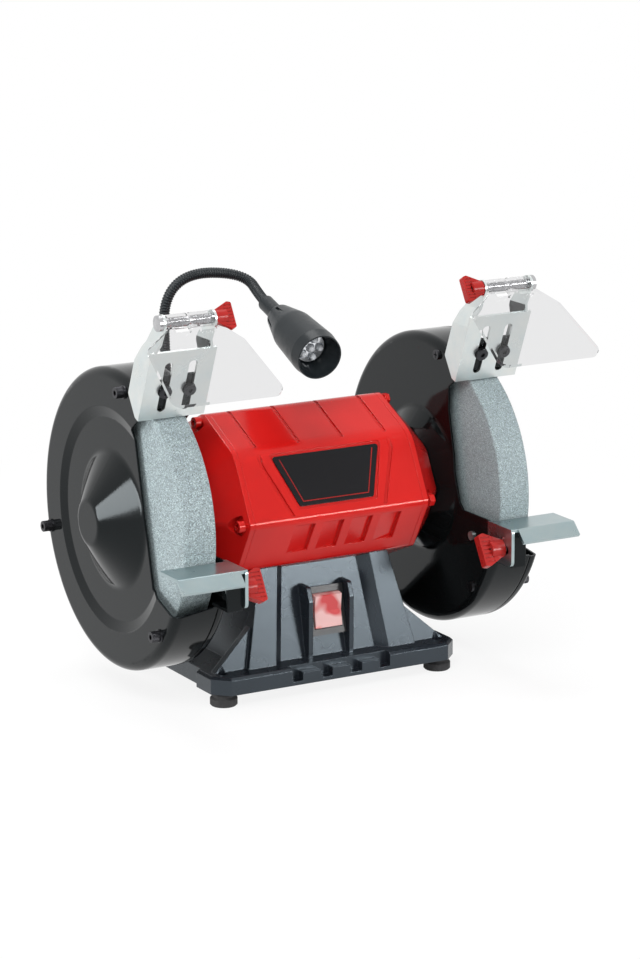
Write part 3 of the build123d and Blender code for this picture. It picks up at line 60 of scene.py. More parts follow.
# Places and sizes in millimetres, as in the solids
SHAFT_Z = 132.0
COVER_FACE = 150.0
COVER_SCREW_R = 101.0
COVER_SCREW_DEGS = (104.0, -15.0, -138.0)
COVER_SCREW = {"Radius": 4.0, "Height": 6.0, "Washer": 4.8, "Socket": 2.0}
SPARK_SCREW_XS = (120.5, 139.5)
SPARK_SCREW_YZ = (-66.2, 237.3)
SPARK_NORMAL = (0.0, -0.928, -0.373)
SPARK_SCREW = {"Radius": 4.6, "Height": 2.5, "Washer": 5.0, "Socket": 1.9}
LABEL_FOOT = (0.0, -71.0, 132.0)  # front edge of the motor below the label
LABEL_UP = (0.0, 0.4657, 0.8849)
LABEL_OUT = (0.0, -0.8849, 0.4657)
LABEL_DEPTH = 0.8  # label's face below the motor's
LABEL_LINE_RISE = 0.1
# Corners of the label's line: across, up, and which way its width goes across and up
LABEL_LINE = [
    (-39.0, 46.5, 1.06, 0.0), (-27.3, 13.6, 0.7, 1.0),
    (27.3, 13.6, -0.7, 1.0), (39.0, 46.5, -1.06, 0.0),
]
NECK_LOWER = [
    (-53.0, 42.0, 62.0), (-53.0, 88.0, 62.0), (-54.6, 88.0, 108.0),
    (-58.0, 88.0, 206.0), (-61.0, 88.0, 290.0), (-16.3, 88.0, 284.9),
]
NECK_UPPER = [(-16.3, 88.0, 284.9), (9.5, 88.0, 282.0), (6.8, 58.0, 268.0), (5.4, 42.5, 264.2)]

# Counts on the pieces that are made here, and shares of a screw head
ROUTE_STEPS = 24
NECK_SIDES = 28
RINGS_PER_RIB = 8.0
KNURL_SIDES = 48
KNURL_DEPTH = 0.05  # of the radius
WASHER_SIDES = 40
WASHER_THICKNESS = 0.2  # of the height
SOCKET_SIDES = 6
SOCKET_FLOOR = 0.65  # of the height, above the washer's seat

# Stage, in metres and watts
CAMERA_AT = (-1.2260, -2.1672, 0.7558)
CAMERA_TO = (0.0233, 0.0001, 0.1402)
CAMERA_LENS = 130.9  # millimetres, on a 36 mm long side
CAMERA_SENSOR = 36.0  # millimetres
CAMERA_REACH = 50.0
# Name, place, target, width, height and power
LAMPS = (
    ("key", (-1.3, -1.6, 2.0), (0.0, -0.05, 0.14), 1.2, 1.2, 52),
    ("front", (1.3, -2.2, 0.62), (0.0, 0.0, 0.1), 0.6, 0.45, 26),
    ("top", (0.1, 0.5, 2.2), (0.0, 0.0, 0.1), 1.2, 1.0, 30),
    ("left", (-1.75, 0.36, 0.44), (-0.1, 0.0, 0.13), 0.6, 0.7, 18),
)
FLOOR_REACH = 6.0
FLOOR_MATT = 0.8  # share of the light that the floor gives back
SHADOW_NEAR, SHADOW_FAR = 0.3, 0.7  # from the origin, between which the shadow fades out
SHADOW_WHITE = 0.86  # share of plain white near the object
WORLD_FILL = 0.45

# Rounding of painted edges, in metres
PAINT_EDGE = 0.0009
EDGE_SAMPLES = 4

# Tones of the gloss: plain, and on the guards, the base and the red enamel
WHITE = (1.0, 1.0, 1.0)
COOL = (0.86, 0.96, 1.0)
COOLER = (0.76, 0.90, 1.0)
SALMON = (1.0, 0.42, 0.38)

# Tones of the smaller pieces
LABEL_BLACK = (0.006, 0.006, 0.007)
SCREW_BLACK = (0.05, 0.05, 0.055)
FOOT_BLACK = (0.018, 0.018, 0.019)
SWITCH_BLACK = (0.012, 0.012, 0.013)
LAMP_BLACK = (0.009, 0.012, 0.014)
FITTING_BLACK = (0.05, 0.05, 0.05)
PLAIN_STEEL = (0.6, 0.61, 0.62)
TURNED_STEEL = (0.62, 0.63, 0.65)
ROD_STEEL = (0.5, 0.5, 0.51)
LAMINATIONS = (0.4, 0.41, 0.43)
REFLECTOR = (0.8, 0.82, 0.85)
COPPER = (0.72, 0.32, 0.16)
CARD = (0.7, 0.68, 0.6)
# The rocker's pale tone is a painted highlight
ROCKER_DEEP, ROCKER_PAINTED_HIGHLIGHT = (0.74, 0.05, 0.055), (0.95, 0.60, 0.58)
# The diodes' grey and white are painted shade and painted glints
DIODE_PAINTED_SHADE, DIODE_PAINTED_GLINT = (0.62, 0.66, 0.7), (0.96, 0.97, 1.0)
BOND_GREY = (0.75, 0.78, 0.8)
ZINC_CLOUD = (0.90, 0.95, 0.98)  # share of each channel in the darker clouds


# Sizes and colours


def colour(label, words, default):
    return FloatVectorProperty(
        name=label, description=words, subtype="COLOR", size=3, min=0.0, max=1.0, default=default
    )


def length(label, words, default):
    return FloatProperty(
        name=label, description=words, unit="LENGTH", min=0.0, precision=5, default=default
    )


class GrinderColours(bpy.types.PropertyGroup):
    """Colours of the grinder's finishes."""

    enamel: colour("Motor enamel", "Red of the motor shell and end shields", (0.43, 0.007, 0.006))
    guard: colour("Guard paint", "Gloss black of the wheel guards", (0.0035, 0.004, 0.0042))
    base: colour("Base paint", "Satin black of the pedestal", (0.007, 0.0085, 0.012))
    zinc: colour("Bright zinc", "Plating of the spark guards", (0.71, 0.73, 0.71))
    # The tool rests carry the same zinc as the spark guards, darker and bluer as painted shade
    rest_zinc_painted_shade: colour("Zinc with painted shade", "Plating of the tool rests", (0.38, 0.45, 0.455))
    knob: colour("Knob plastic", "Red of the wing knobs", (0.30, 0.012, 0.010))
    grit: colour("Grit", "Middle tone of the wheels", (0.25, 0.30, 0.31))
    clear: colour("Shield plastic", "Tint of the eye shields", (0.81, 0.81, 0.815))
    floor: colour("Floor", "Pale floor and background", (1.0, 1.0, 1.0))


class GrinderSizes(bpy.types.PropertyGroup):
    """Sizes of the pieces that are made here."""

    neck_radius: length("Neck radius", "Outside of the gooseneck", 4.0 * MM)
    rib_pitch: length("Rib pitch", "Distance from rib to rib along the gooseneck", 2.0 * MM)
    rib_depth: length("Rib depth", "Depth of the grooves of the gooseneck", 0.55 * MM)
    coarse_grain: length("Coarse grain", "Grain of the left wheel", 0.55 * MM)
    fine_grain: length("Fine grain", "Grain of the right wheel", 0.4 * MM)
    line_width: length("Label line", "Width of the line round the label", 0.7 * MM)


def colours():
    return bpy.context.scene.grinder_colours


def sizes():
    return bpy.context.scene.grinder_sizes


# Materials


def shade(tone, factor):
    """Lighter or darker tone."""
    return tuple(min(1.0, channel * factor) for channel in tone)


class Finish:
    """A material in the making: object coordinates, textures and one principled shader."""

    def __init__(self, name):
        self.material = bpy.data.materials.new(name)
        self.material.use_nodes = True
        self.tree = self.material.node_tree
        self.shader = self.tree.nodes["Principled BSDF"]
        self.coords = self.node("ShaderNodeTexCoord").outputs["Object"]

    def node(self, kind, **settings):
        made = self.tree.nodes.new(kind)
        for name, value in settings.items():
            setattr(made, name, value)
        return made

    def link(self, start, end):
        self.tree.links.new(start, end)

    def set(self, **values):
        """Set shader sockets by name, with _ for a space."""
        for name, value in values.items():
            self.shader.inputs[name.replace("_", " ")].default_value = value

    def drive(self, socket, output):
        self.link(output, self.shader.inputs[socket])

    def noise(self, size, detail=2.0, rough=0.5, stretch=(1, 1, 1)):
        """Noise with features of about the given size in metres."""
        place = self.node("ShaderNodeMapping")
        place.inputs["Scale"].default_value = stretch
        self.link(self.coords, place.inputs["Vector"])
        texture = self.node("ShaderNodeTexNoise")
        texture.inputs["Scale"].default_value = 1.0 / size
        texture.inputs["Detail"].default_value = detail
        texture.inputs["Roughness"].default_value = rough
        self.link(place.outputs["Vector"], texture.inputs["Vector"])
        return texture.outputs["Fac"]

    def grains(self, size):
        """Cells of about the given size, each with its own random value."""
        texture = self.node("ShaderNodeTexVoronoi")
        texture.inputs["Scale"].default_value = 1.0 / size
        self.link(self.coords, texture.inputs["Vector"])
        value = self.node("ShaderNodeSeparateColor")
        self.link(texture.outputs["Color"], value.inputs["Color"])
        return value.outputs["Red"], texture.outputs["Distance"]

    def span(self, value, low, high, start=0.3, end=0.7):
        """Stretch a texture value from start and end to low and high."""
        spread = self.node("ShaderNodeMapRange")
        spread.inputs["From Min"].default_value = start
        spread.inputs["From Max"].default_value = end
        spread.inputs["To Min"].default_value = low
        spread.inputs["To Max"].default_value = high
        self.link(value, spread.inputs["Value"])
        return spread.outputs["Result"]

    def ramp(self, value, *stops):
        """Colour ramp from (place, colour) stops."""
        ramp = self.node("ShaderNodeValToRGB")
        elements = ramp.color_ramp.elements
        while len(elements) < len(stops):
            elements.new(0.5)
        for element, (place, tone) in zip(elements, stops):
            element.position = place
            element.color = (*tone, 1.0)
        self.link(value, ramp.inputs["Fac"])
        return ramp.outputs["Color"]

    def clouds(self, tone, size, detail, low, high):
        """Base colour that drifts between two shades of a tone."""
        drift = self.noise(size, detail)
        self.drive("Base Color", self.ramp(drift, (0.3, shade(tone, low)), (0.7, shade(tone, high))))

    def uneven(self, size, detail, low, high, start=0.3, end=0.7):
        """Roughness that drifts between two values."""
        self.drive("Roughness", self.span(self.noise(size, detail), low, high, start, end))

    def bump(self, *heights, edge=0.0):
        """Bumps from (height, distance in metres, strength), and edges rounded by a radius."""
        normal = None
        if edge:
            rounded = self.node("ShaderNodeBevel", samples=EDGE_SAMPLES)
            rounded.inputs["Radius"].default_value = edge
            normal = rounded.outputs["Normal"]
        for height, distance, strength in heights:
            bump = self.node("ShaderNodeBump")
            bump.inputs["Distance"].default_value = distance
            bump.inputs["Strength"].default_value = strength
            self.link(height, bump.inputs["Height"])
            if normal is not None:
                self.link(normal, bump.inputs["Normal"])
            normal = bump.outputs["Normal"]
        self.drive("Normal", normal)


def enamel(name, tone, rough, gloss=0.5, peel=0.03, sheen=WHITE):
    """Glossy sprayed paint: faint clouds of tone, uneven gloss and orange peel."""
    finish = Finish(name)
    finish.clouds(tone, size=0.06, detail=3.0, low=0.9, high=1.08)
    finish.uneven(size=0.04, detail=1.0, low=rough * 0.93, high=rough * 1.07, start=0.1, end=0.9)
    finish.set(Specular_IOR_Level=gloss, Specular_Tint=(*sheen, 1.0))
    coarse, fine = finish.noise(0.0022, 1.0), finish.noise(0.0006, 1.0)
    finish.bump((coarse, 0.0004, peel), (fine, 0.0001, peel), edge=PAINT_EDGE)
    return finish.material


def satin_paint(name, tone):
    """Satin black paint on a casting, with a fine texture and soft waves."""
    finish = Finish(name)
    finish.clouds(tone, size=0.05, detail=4.0, low=0.8, high=1.3)
    finish.uneven(size=0.03, detail=2.0, low=0.24, high=0.31, start=0.1, end=0.9)
    finish.set(Specular_IOR_Level=0.7, Specular_Tint=(*COOLER, 1.0))
    grain, waves = finish.noise(0.0012, 2.0), finish.noise(0.008, 2.0)
    finish.bump((grain, 0.0003, 0.08), (waves, 0.0006, 0.05), edge=PAINT_EDGE)
    return finish.material


def zinc_plate(name, tone):
    """Zinc plating: cloudy tone, fine brush lines and soft dents."""
    finish = Finish(name)
    clouds = finish.noise(0.012, 4.0, 0.6)
    cool = tuple(channel * share for channel, share in zip(tone, ZINC_CLOUD))
    finish.drive("Base Color", finish.ramp(clouds, (0.3, cool), (0.7, tone)))
    finish.uneven(size=0.02, detail=4.0, low=0.26, high=0.34)
    finish.set(Metallic=1.0)
    brush, dents = finish.noise(0.002, 3.0, 0.6, stretch=(0.05, 1.0, 1.0)), finish.noise(0.03, 2.0)
    finish.bump((brush, 0.0002, 0.06), (dents, 0.0004, 0.03))
    return finish.material


def steel(name, tone, rough):
    """Bare metal with faint clouds."""
    finish = Finish(name)
    finish.clouds(tone, size=0.01, detail=4.0, low=0.85, high=1.1)
    finish.uneven(size=0.004, detail=4.0, low=rough * 0.8, high=rough * 1.3)
    finish.set(Metallic=1.0)
    finish.bump((finish.noise(0.001, 2.0), 0.0001, 0.1))
    return finish.material


def grit(name, tone, grain):
    """Bonded abrasive: pale, mid and dark grains in a grey bond, with pits between them."""
    finish = Finish(name)
    value, depth = finish.grains(grain)
    grains = finish.ramp(
        value,
        (0.0, shade(tone, 0.35)),
        (0.2, shade(tone, 0.75)),
        (0.5, tone),
        (0.85, shade(tone, 1.25)),
        (0.97, shade(tone, 1.9)),
    )
    bond = finish.noise(grain * 6, 3.0)
    blend = finish.node("ShaderNodeMix", data_type="RGBA", blend_type="MULTIPLY")
    blend.inputs["Factor"].default_value = 0.5
    finish.link(grains, blend.inputs["A"])
    finish.link(finish.ramp(bond, (0.3, BOND_GREY), (0.7, WHITE)), blend.inputs["B"])
    finish.drive("Base Color", blend.outputs["Result"])
    finish.drive("Roughness", finish.span(value, 0.6, 0.95, 0.0, 1.0))
    finish.bump((finish.noise(grain, 3.0), grain * 0.5, 0.5), (depth, grain * 0.6, 0.5))
    return finish.material


def plastic(name, tone, rough, texture, gloss=0.5):
    """Moulded plastic with a fine grain."""
    finish = Finish(name)
    finish.clouds(tone, size=0.02, detail=3.0, low=0.88, high=1.12)
    finish.uneven(size=0.005, detail=3.0, low=rough * 0.85, high=rough * 1.2)
    finish.set(Specular_IOR_Level=gloss)
    finish.bump((finish.noise(0.0008, 2.0), 0.0002, texture))
    return finish.material


def clear_plastic(name, tone):
    """Clear polycarbonate with faint haze and fine scuffs."""
    finish = Finish(name)
    finish.set(Base_Color=(*tone, 1.0), Transmission_Weight=1.0, IOR=1.04)
    finish.set(Coat_Weight=0.5, Coat_Roughness=0.02)
    scuffs = finish.noise(0.004, 6.0, 0.7, stretch=(1.0, 0.2, 1.0))
    finish.drive("Roughness", finish.span(scuffs, 0.0, 0.06, 0.5, 0.8))
    finish.bump((finish.noise(0.03, 1.0), 0.0002, 0.02))
    return finish.material


def tinted_lens(name):
    """See-through red of the rocker, with pale patches at random as a painted highlight."""
    finish = Finish(name)
    # Painted highlight: noise patches in the pale tone
    glow = finish.noise(0.014, 1.0)
    finish.drive("Base Color", finish.ramp(glow, (0.38, ROCKER_DEEP), (0.56, ROCKER_PAINTED_HIGHLIGHT)))
    finish.set(Transmission_Weight=0.45, Roughness=0.12, IOR=1.49, Coat_Weight=0.5)
    finish.bump((finish.noise(0.004, 2.0), 0.0004, 0.12))
    return finish.material


def diode(name):
    """Clear diode, with pale and grey patches at random as painted glints and shade on facets."""
    finish = Finish(name)
    # Painted glints and shade: noise patches in grey and white
    painted_facet_light = finish.noise(0.0012, 2.0)
    finish.drive("Base Color", finish.ramp(painted_facet_light, (0.35, DIODE_PAINTED_SHADE), (0.65, DIODE_PAINTED_GLINT)))
    finish.set(Roughness=0.08, Transmission_Weight=0.3, IOR=1.5)
    finish.bump((finish.noise(0.001, 2.0), 0.0003, 0.2))
    return finish.material


# Pieces


def dress(material, *nodes):
    """Give CAD nodes a material."""
    for name in nodes:
        slots = NODES[name].data.materials
        slots.clear()
        slots.append(material)


def both(stem):
    """Names of the left and right node."""
    return [f"{stem}_{side}" for side in SIDES]


def add_object(name, data, material):
    made = bpy.data.objects.new(name, data)
    bpy.context.scene.collection.objects.link(made)
    if material:
        made.data.materials.append(material)
    return made


def outward(mesh):
    """Turn the faces of a closed mesh outwards."""
    work = bmesh.new()
    work.from_mesh(mesh)
    bmesh.ops.recalc_face_normals(work, faces=work.faces)
    work.to_mesh(mesh)
    work.free()


def nurbs_route(name, points):
    """Open curve that follows control points given in millimetres."""
    curve = bpy.data.curves.new(name, "CURVE")
    curve.dimensions = "3D"
    curve.resolution_u = ROUTE_STEPS
    spline = curve.splines.new("NURBS")
    spline.points.add(len(points) - 1)
    for place, point in zip(spline.points, points):
        place.co = (*(axis * MM for axis in point), 1.0)
    spline.order_u = 3
    spline.use_endpoint_u = True
    return curve


def new_tree(name, *inputs):
    """Geometry node tree with a geometry in and out, and (name, socket type) inputs."""
    tree = bpy.data.node_groups.new(name, "GeometryNodeTree")
    tree.interface.new_socket("Geometry", in_out="INPUT", socket_type="NodeSocketGeometry")
    for label, kind in inputs:
        tree.interface.new_socket(label, in_out="INPUT", socket_type=kind)
    tree.interface.new_socket("Geometry", in_out="OUTPUT", socket_type="NodeSocketGeometry")
    return tree, tree.nodes.new("NodeGroupInput"), tree.nodes.new("NodeGroupOutput")


def end_tree(tree, geometry, start, end):
    """Close a tree with Realize Instances and Set Material."""
    solid = tree.nodes.new("GeometryNodeRealizeInstances")
    paint = tree.nodes.new("GeometryNodeSetMaterial")
    tree.links.new(geometry, solid.inputs["Geometry"])
    tree.links.new(solid.outputs["Geometry"], paint.inputs["Geometry"])
    tree.links.new(start.outputs["Material"], paint.inputs["Material"])
    tree.links.new(paint.outputs["Geometry"], end.inputs["Geometry"])


def run_tree(carrier, tree, values):
    """Run a tree on an object, and return the result as a plain mesh."""
    modifier = carrier.modifiers.new("make", "NODES")
    modifier.node_group = tree
    for item in tree.interface.items_tree:
        if item.in_out == "INPUT" and item.name in values:
            modifier[item.identifier] = values[item.name]
    bpy.context.view_layer.update()
    evaluated = carrier.evaluated_get(bpy.context.evaluated_depsgraph_get())
    mesh = bpy.data.meshes.new_from_object(evaluated)
    data = carrier.data
    carrier.modifiers.remove(modifier)
    bpy.data.objects.remove(carrier)
    if isinstance(data, bpy.types.Curve):
        bpy.data.curves.remove(data)
    return mesh


def calc(tree, operation, *values):
    """Math node on sockets or numbers."""
    node = tree.nodes.new("ShaderNodeMath")
    node.operation = operation
    for socket, value in zip(node.inputs, values):
        if isinstance(value, (int, float)):
            socket.default_value = value
        else:
            tree.links.new(value, socket)
    return node.outputs[0]


def ribbed_neck_tree():
    """Tube along a curve whose radius swells at every rib."""
    tree, start, end = new_tree(
        "ribbed neck",
        ("Radius", "NodeSocketFloat"),
        ("Pitch", "NodeSocketFloat"),
        ("Depth", "NodeSocketFloat"),
        ("Material", "NodeSocketMaterial"),
    )
    resample = tree.nodes.new("GeometryNodeResampleCurve")
    resample.mode = "LENGTH"
    tree.links.new(start.outputs["Geometry"], resample.inputs["Curve"])
    step = calc(tree, "DIVIDE", start.outputs["Pitch"], RINGS_PER_RIB)
    tree.links.new(step, resample.inputs["Length"])
    along = tree.nodes.new("GeometryNodeSplineParameter").outputs["Length"]
    turns = calc(tree, "DIVIDE", along, start.outputs["Pitch"])
    wave = calc(tree, "COSINE", calc(tree, "MULTIPLY", turns, 2 * pi))
    hollow = calc(tree, "POWER", calc(tree, "MULTIPLY_ADD", wave, 0.5, 0.5), 2.0)
    groove = calc(tree, "MULTIPLY", hollow, start.outputs["Depth"])
    swell = calc(tree, "SUBTRACT", start.outputs["Radius"], groove)
    ring = tree.nodes.new("GeometryNodeCurvePrimitiveCircle")
    ring.inputs["Resolution"].default_value = NECK_SIDES
    ring.inputs["Radius"].default_value = 1.0
    tube = tree.nodes.new("GeometryNodeCurveToMesh")
    tube.inputs["Fill Caps"].default_value = True
    tree.links.new(ring.outputs["Curve"], tube.inputs["Profile Curve"])
    tree.links.new(resample.outputs["Curve"], tube.inputs["Curve"])
    tree.links.new(swell, tube.inputs["Scale"])
    smooth = tree.nodes.new("GeometryNodeSetShadeSmooth")
    tree.links.new(tube.outputs["Mesh"], smooth.inputs["Geometry"])
    end_tree(tree, smooth.outputs["Geometry"], start, end)
    return tree


def make_neck(name, points, tree, material):
    """Ribbed tube along a route through points in millimetres."""
    route = add_object(f"{name}_route", nurbs_route(name, points), None)
    values = {
        "Radius": sizes().neck_radius,
        "Pitch": sizes().rib_pitch,
        "Depth": sizes().rib_depth,
        "Material": material,
    }
    return add_object(name, run_tree(route, tree, values), None)


def screw_tree():
    """Screw heads on points: washer, knurled head and hexagon socket, each along its point's axis."""
    tree, start, end = new_tree(
        "screw heads",
        ("Radius", "NodeSocketFloat"),
        ("Height", "NodeSocketFloat"),
        ("Washer", "NodeSocketFloat"),
        ("Socket", "NodeSocketFloat"),
        ("Material", "NodeSocketMaterial"),
    )

    def drum(sides, radius, height, lift):
        """Cylinder standing on the height lift."""
        body = tree.nodes.new("GeometryNodeMeshCylinder")
        body.inputs["Vertices"].default_value = sides
        tree.links.new(start.outputs[radius], body.inputs["Radius"])
        tree.links.new(height, body.inputs["Depth"])
        place = tree.nodes.new("ShaderNodeCombineXYZ")
        half = calc(tree, "MULTIPLY", height, 0.5)
        tree.links.new(calc(tree, "ADD", half, lift), place.inputs["Z"])
        move = tree.nodes.new("GeometryNodeTransform")
        tree.links.new(body.outputs["Mesh"], move.inputs["Geometry"])
        tree.links.new(place.outputs["Vector"], move.inputs["Translation"])
        return move.outputs["Geometry"]

    height = start.outputs["Height"]
    base = calc(tree, "MULTIPLY", height, WASHER_THICKNESS)
    knurl = tree.nodes.new("GeometryNodeSetPosition")
    tree.links.new(drum(KNURL_SIDES, "Radius", height, base), knurl.inputs["Geometry"])
    odd = calc(tree, "MODULO", tree.nodes.new("GeometryNodeInputIndex").outputs["Index"], 2.0)
    inward = tree.nodes.new("ShaderNodeVectorMath")
    inward.operation = "MULTIPLY"
    tree.links.new(tree.nodes.new("GeometryNodeInputPosition").outputs["Position"], inward.inputs[0])
    inward.inputs[1].default_value = (-KNURL_DEPTH, -KNURL_DEPTH, 0.0)
    scaled = tree.nodes.new("ShaderNodeVectorMath")
    scaled.operation = "SCALE"
    tree.links.new(inward.outputs["Vector"], scaled.inputs[0])
    tree.links.new(odd, scaled.inputs["Scale"])
    tree.links.new(scaled.outputs["Vector"], knurl.inputs["Offset"])
    socket = tree.nodes.new("GeometryNodeMeshBoolean")
    socket.operation = "DIFFERENCE"
    tree.links.new(knurl.outputs["Geometry"], socket.inputs["Mesh 1"])
    floor = calc(tree, "MULTIPLY", height, SOCKET_FLOOR)
    tree.links.new(drum(SOCKET_SIDES, "Socket", height, floor), socket.inputs["Mesh 2"])
    head = tree.nodes.new("GeometryNodeJoinGeometry")
    tree.links.new(socket.outputs["Mesh"], head.inputs["Geometry"])
    tree.links.new(drum(WASHER_SIDES, "Washer", base, 0.0), head.inputs["Geometry"])
    axis = tree.nodes.new("GeometryNodeInputNamedAttribute")
    axis.data_type = "FLOAT_VECTOR"
    axis.inputs["Name"].default_value = "axis"
    turn = tree.nodes.new("FunctionNodeAlignRotationToVector")
    turn.axis = "Z"
    tree.links.new(axis.outputs["Attribute"], turn.inputs["Vector"])
    place = tree.nodes.new("GeometryNodeInstanceOnPoints")
    tree.links.new(start.outputs["Geometry"], place.inputs["Points"])
    tree.links.new(head.outputs["Geometry"], place.inputs["Instance"])
    tree.links.new(turn.outputs["Rotation"], place.inputs["Rotation"])
    end_tree(tree, place.outputs["Instances"], start, end)
    return tree


def make_screws(name, node, places, tree, material, head):
    """Screw heads at (point, axis) places in millimetres, which stand for a node's plain ones."""
    points = bpy.data.meshes.new(f"{name}_places")
    points.from_pydata([[value * MM for value in point] for point, _ in places], [], [])
    axes = points.attributes.new("axis", "FLOAT_VECTOR", "POINT")
    axes.data.foreach_set("vector", [value for _, axis in places for value in axis])
    values = {label: size * MM for label, size in head.items()}
    values["Material"] = material
    made = add_object(name, run_tree(add_object(points.name, points, None), tree, values), None)
    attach(made, "stand")
    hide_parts(node)


class GRINDER_OT_guards(bpy.types.Operator):
    """Gloss black guards, straps and brackets with their black screws"""

    bl_idname = "grinder.guards"
    bl_label = "Guards"

    def execute(self, context):
        paint = enamel("guard paint", colours().guard, rough=0.09, gloss=0.2, sheen=COOL)
        dress(paint, *both("guard_cover"), *both("guard_inner"), *both("rest_bracket"), "guard_straps")
        black = steel("black screws", SCREW_BLACK, rough=0.35)
        dress(black, "guard_strap_screws", "guard_hub_screws")
        tree = screw_tree()
        covers, sparks = [], []
        for way in SIDES.values():
            for degrees in COVER_SCREW_DEGS:
                turn = radians(degrees)
                y, z = COVER_SCREW_R * cos(turn), SHAFT_Z + COVER_SCREW_R * sin(turn)
                covers.append(((way * COVER_FACE, y, z), (way, 0.0, 0.0)))
            for x in SPARK_SCREW_XS:
                sparks.append(((way * x, *SPARK_SCREW_YZ), SPARK_NORMAL))
        make_screws("cover_screws", "guard_cover_screws", covers, tree, black, COVER_SCREW)
        make_screws("spark_screws", "spark_guard_screws", sparks, tree, black, SPARK_SCREW)
        return {"FINISHED"}


def make_label_line(material):
    """Thin raised line along the sides and the foot of the label."""
    wide = sizes().line_width / MM
    section = ((0, 0), (wide, 0), (wide, LABEL_LINE_RISE), (0, LABEL_LINE_RISE))
    up, out = Vector(LABEL_UP), Vector(LABEL_OUT)
    seat = Vector(LABEL_FOOT) - out * LABEL_DEPTH
    corners = []
    for x, y, dx, dy in LABEL_LINE:
        for share, height in section:
            across = Vector((x + dx * share, 0, 0))
            corners.append((seat + across + up * (y + dy * share) + out * height) * MM)
    faces = [(3, 2, 1, 0), (12, 13, 14, 15)]
    for start in (0, 4, 8):
        for side in range(4):
            after = (side + 1) % 4
            faces.append((start + side, start + after, start + 4 + after, start + 4 + side))
    mesh = bpy.data.meshes.new("label_line")
    mesh.from_pydata(corners, [], faces)
    outward(mesh)
    made = add_object("label_line", mesh, material)
    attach(made, "stand")


class GRINDER_OT_motor(bpy.types.Operator):
    """Red motor shell and end shields, and the bare label plate"""

    bl_idname = "grinder.motor"
    bl_label = "Motor"

    def execute(self, context):
        red = enamel("motor enamel", colours().enamel, rough=0.15, gloss=0.5, sheen=SALMON)
        dress(red, "motor_shell", *both("end_shield"), "tie_bolts")
        make_label_line(enamel("label line", colours().knob, rough=0.3, gloss=0.15))
        dress(enamel("label", LABEL_BLACK, rough=0.3, gloss=0.14, peel=0.01), "label_plate")
        return {"FINISHED"}


class GRINDER_OT_base(bpy.types.Operator):
    """Pedestal, feet, switch and the inlets at the back"""

    bl_idname = "grinder.base"
    bl_label = "Base"

    def execute(self, context):
        dress(satin_paint("base paint", colours().base), "base_casting", "bottom_plate")
        dress(plastic("foot rubber", FOOT_BLACK, rough=0.75, texture=0.3), "rubber_feet")
        black = plastic("switch plastic", SWITCH_BLACK, rough=0.32, texture=0.1)
        dress(black, "switch_body", "cord_gland", "lamp_socket")
        dress(tinted_lens("rocker"), "switch_rocker")
        dress(steel("plain screws", PLAIN_STEEL, rough=0.3), "bottom_screws")
        return {"FINISHED"}


class GRINDER_OT_wheels(bpy.types.Operator):
    """Coarse and fine abrasive wheels with their clamping pieces"""

    bl_idname = "grinder.wheels"
    bl_label = "Wheels"

    def execute(self, context):
        dress(grit("coarse grit", colours().grit, sizes().coarse_grain), "wheel_left")
        dress(grit("fine grit", colours().grit, sizes().fine_grain), "wheel_right")
        bright = steel("turned steel", TURNED_STEEL, rough=0.25)
        dress(bright, "shaft", "wheel_flanges", "wheel_nuts")
        dress(bright, "bearing_inner_rings", "bearing_outer_rings")
        dress(plastic("blotter card", CARD, rough=0.9, texture=0.2), "wheel_blotters")
        return {"FINISHED"}


class GRINDER_OT_shields(bpy.types.Operator):
    """Zinc spark guards, clear eye shields and tool rests with their red wing knobs"""

    bl_idname = "grinder.shields"
    bl_label = "Shields and rests"

    def execute(self, context):
        dress(zinc_plate("bright zinc", colours().zinc), *both("spark_guard"), "rest_studs")
        # Darker, bluer copy of the zinc: painted shade on the tool rests
        dress(zinc_plate("rest zinc with painted shade", colours().rest_zinc_painted_shade), *both("tool_rest"))
        dress(clear_plastic("clear shield", colours().clear), *both("eye_shield"))
        dress(steel("rod steel", ROD_STEEL, rough=0.25), *both("shield_rod"))
        red = plastic("knob plastic", colours().knob, rough=0.28, texture=0.06, gloss=0.25)
        dress(red, *both("shield_knob"), *both("rest_knob"))
        return {"FINISHED"}


class GRINDER_OT_lamp(bpy.types.Operator):
    """Ribbed gooseneck, lamp head and diodes"""

    bl_idname = "grinder.lamp"
    bl_label = "Lamp"

    def execute(self, context):
        black = plastic("lamp rubber", LAMP_BLACK, rough=0.34, texture=0.15, gloss=0.24)
        dress(black, "lamp_head")
        dress(steel("reflector", REFLECTOR, rough=0.15), "lamp_reflector")
        dress(diode("diodes"), "lamp_leds")
        tree = ribbed_neck_tree()
        lower = make_neck("neck_lower", NECK_LOWER, tree, black)
        upper = make_neck("neck_upper", NECK_UPPER, tree, black)
        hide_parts("gooseneck_lower")
        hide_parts("gooseneck_upper")
        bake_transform(lower)
        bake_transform(upper)
        return {"FINISHED"}


class GRINDER_OT_inside(bpy.types.Operator):
    """Pieces inside the motor and the pedestal"""

    bl_idname = "grinder.inside"
    bl_label = "Inside"

    def execute(self, context):
        dress(steel("laminations", LAMINATIONS, rough=0.4), "stator_core", "rotor_core")
        dress(steel("copper wire", COPPER, rough=0.3), "stator_windings")
        black = plastic("fitting plastic", FITTING_BLACK, rough=0.4, texture=0.1)
        dress(black, "capacitor", "terminal_block")
        return {"FINISHED"}


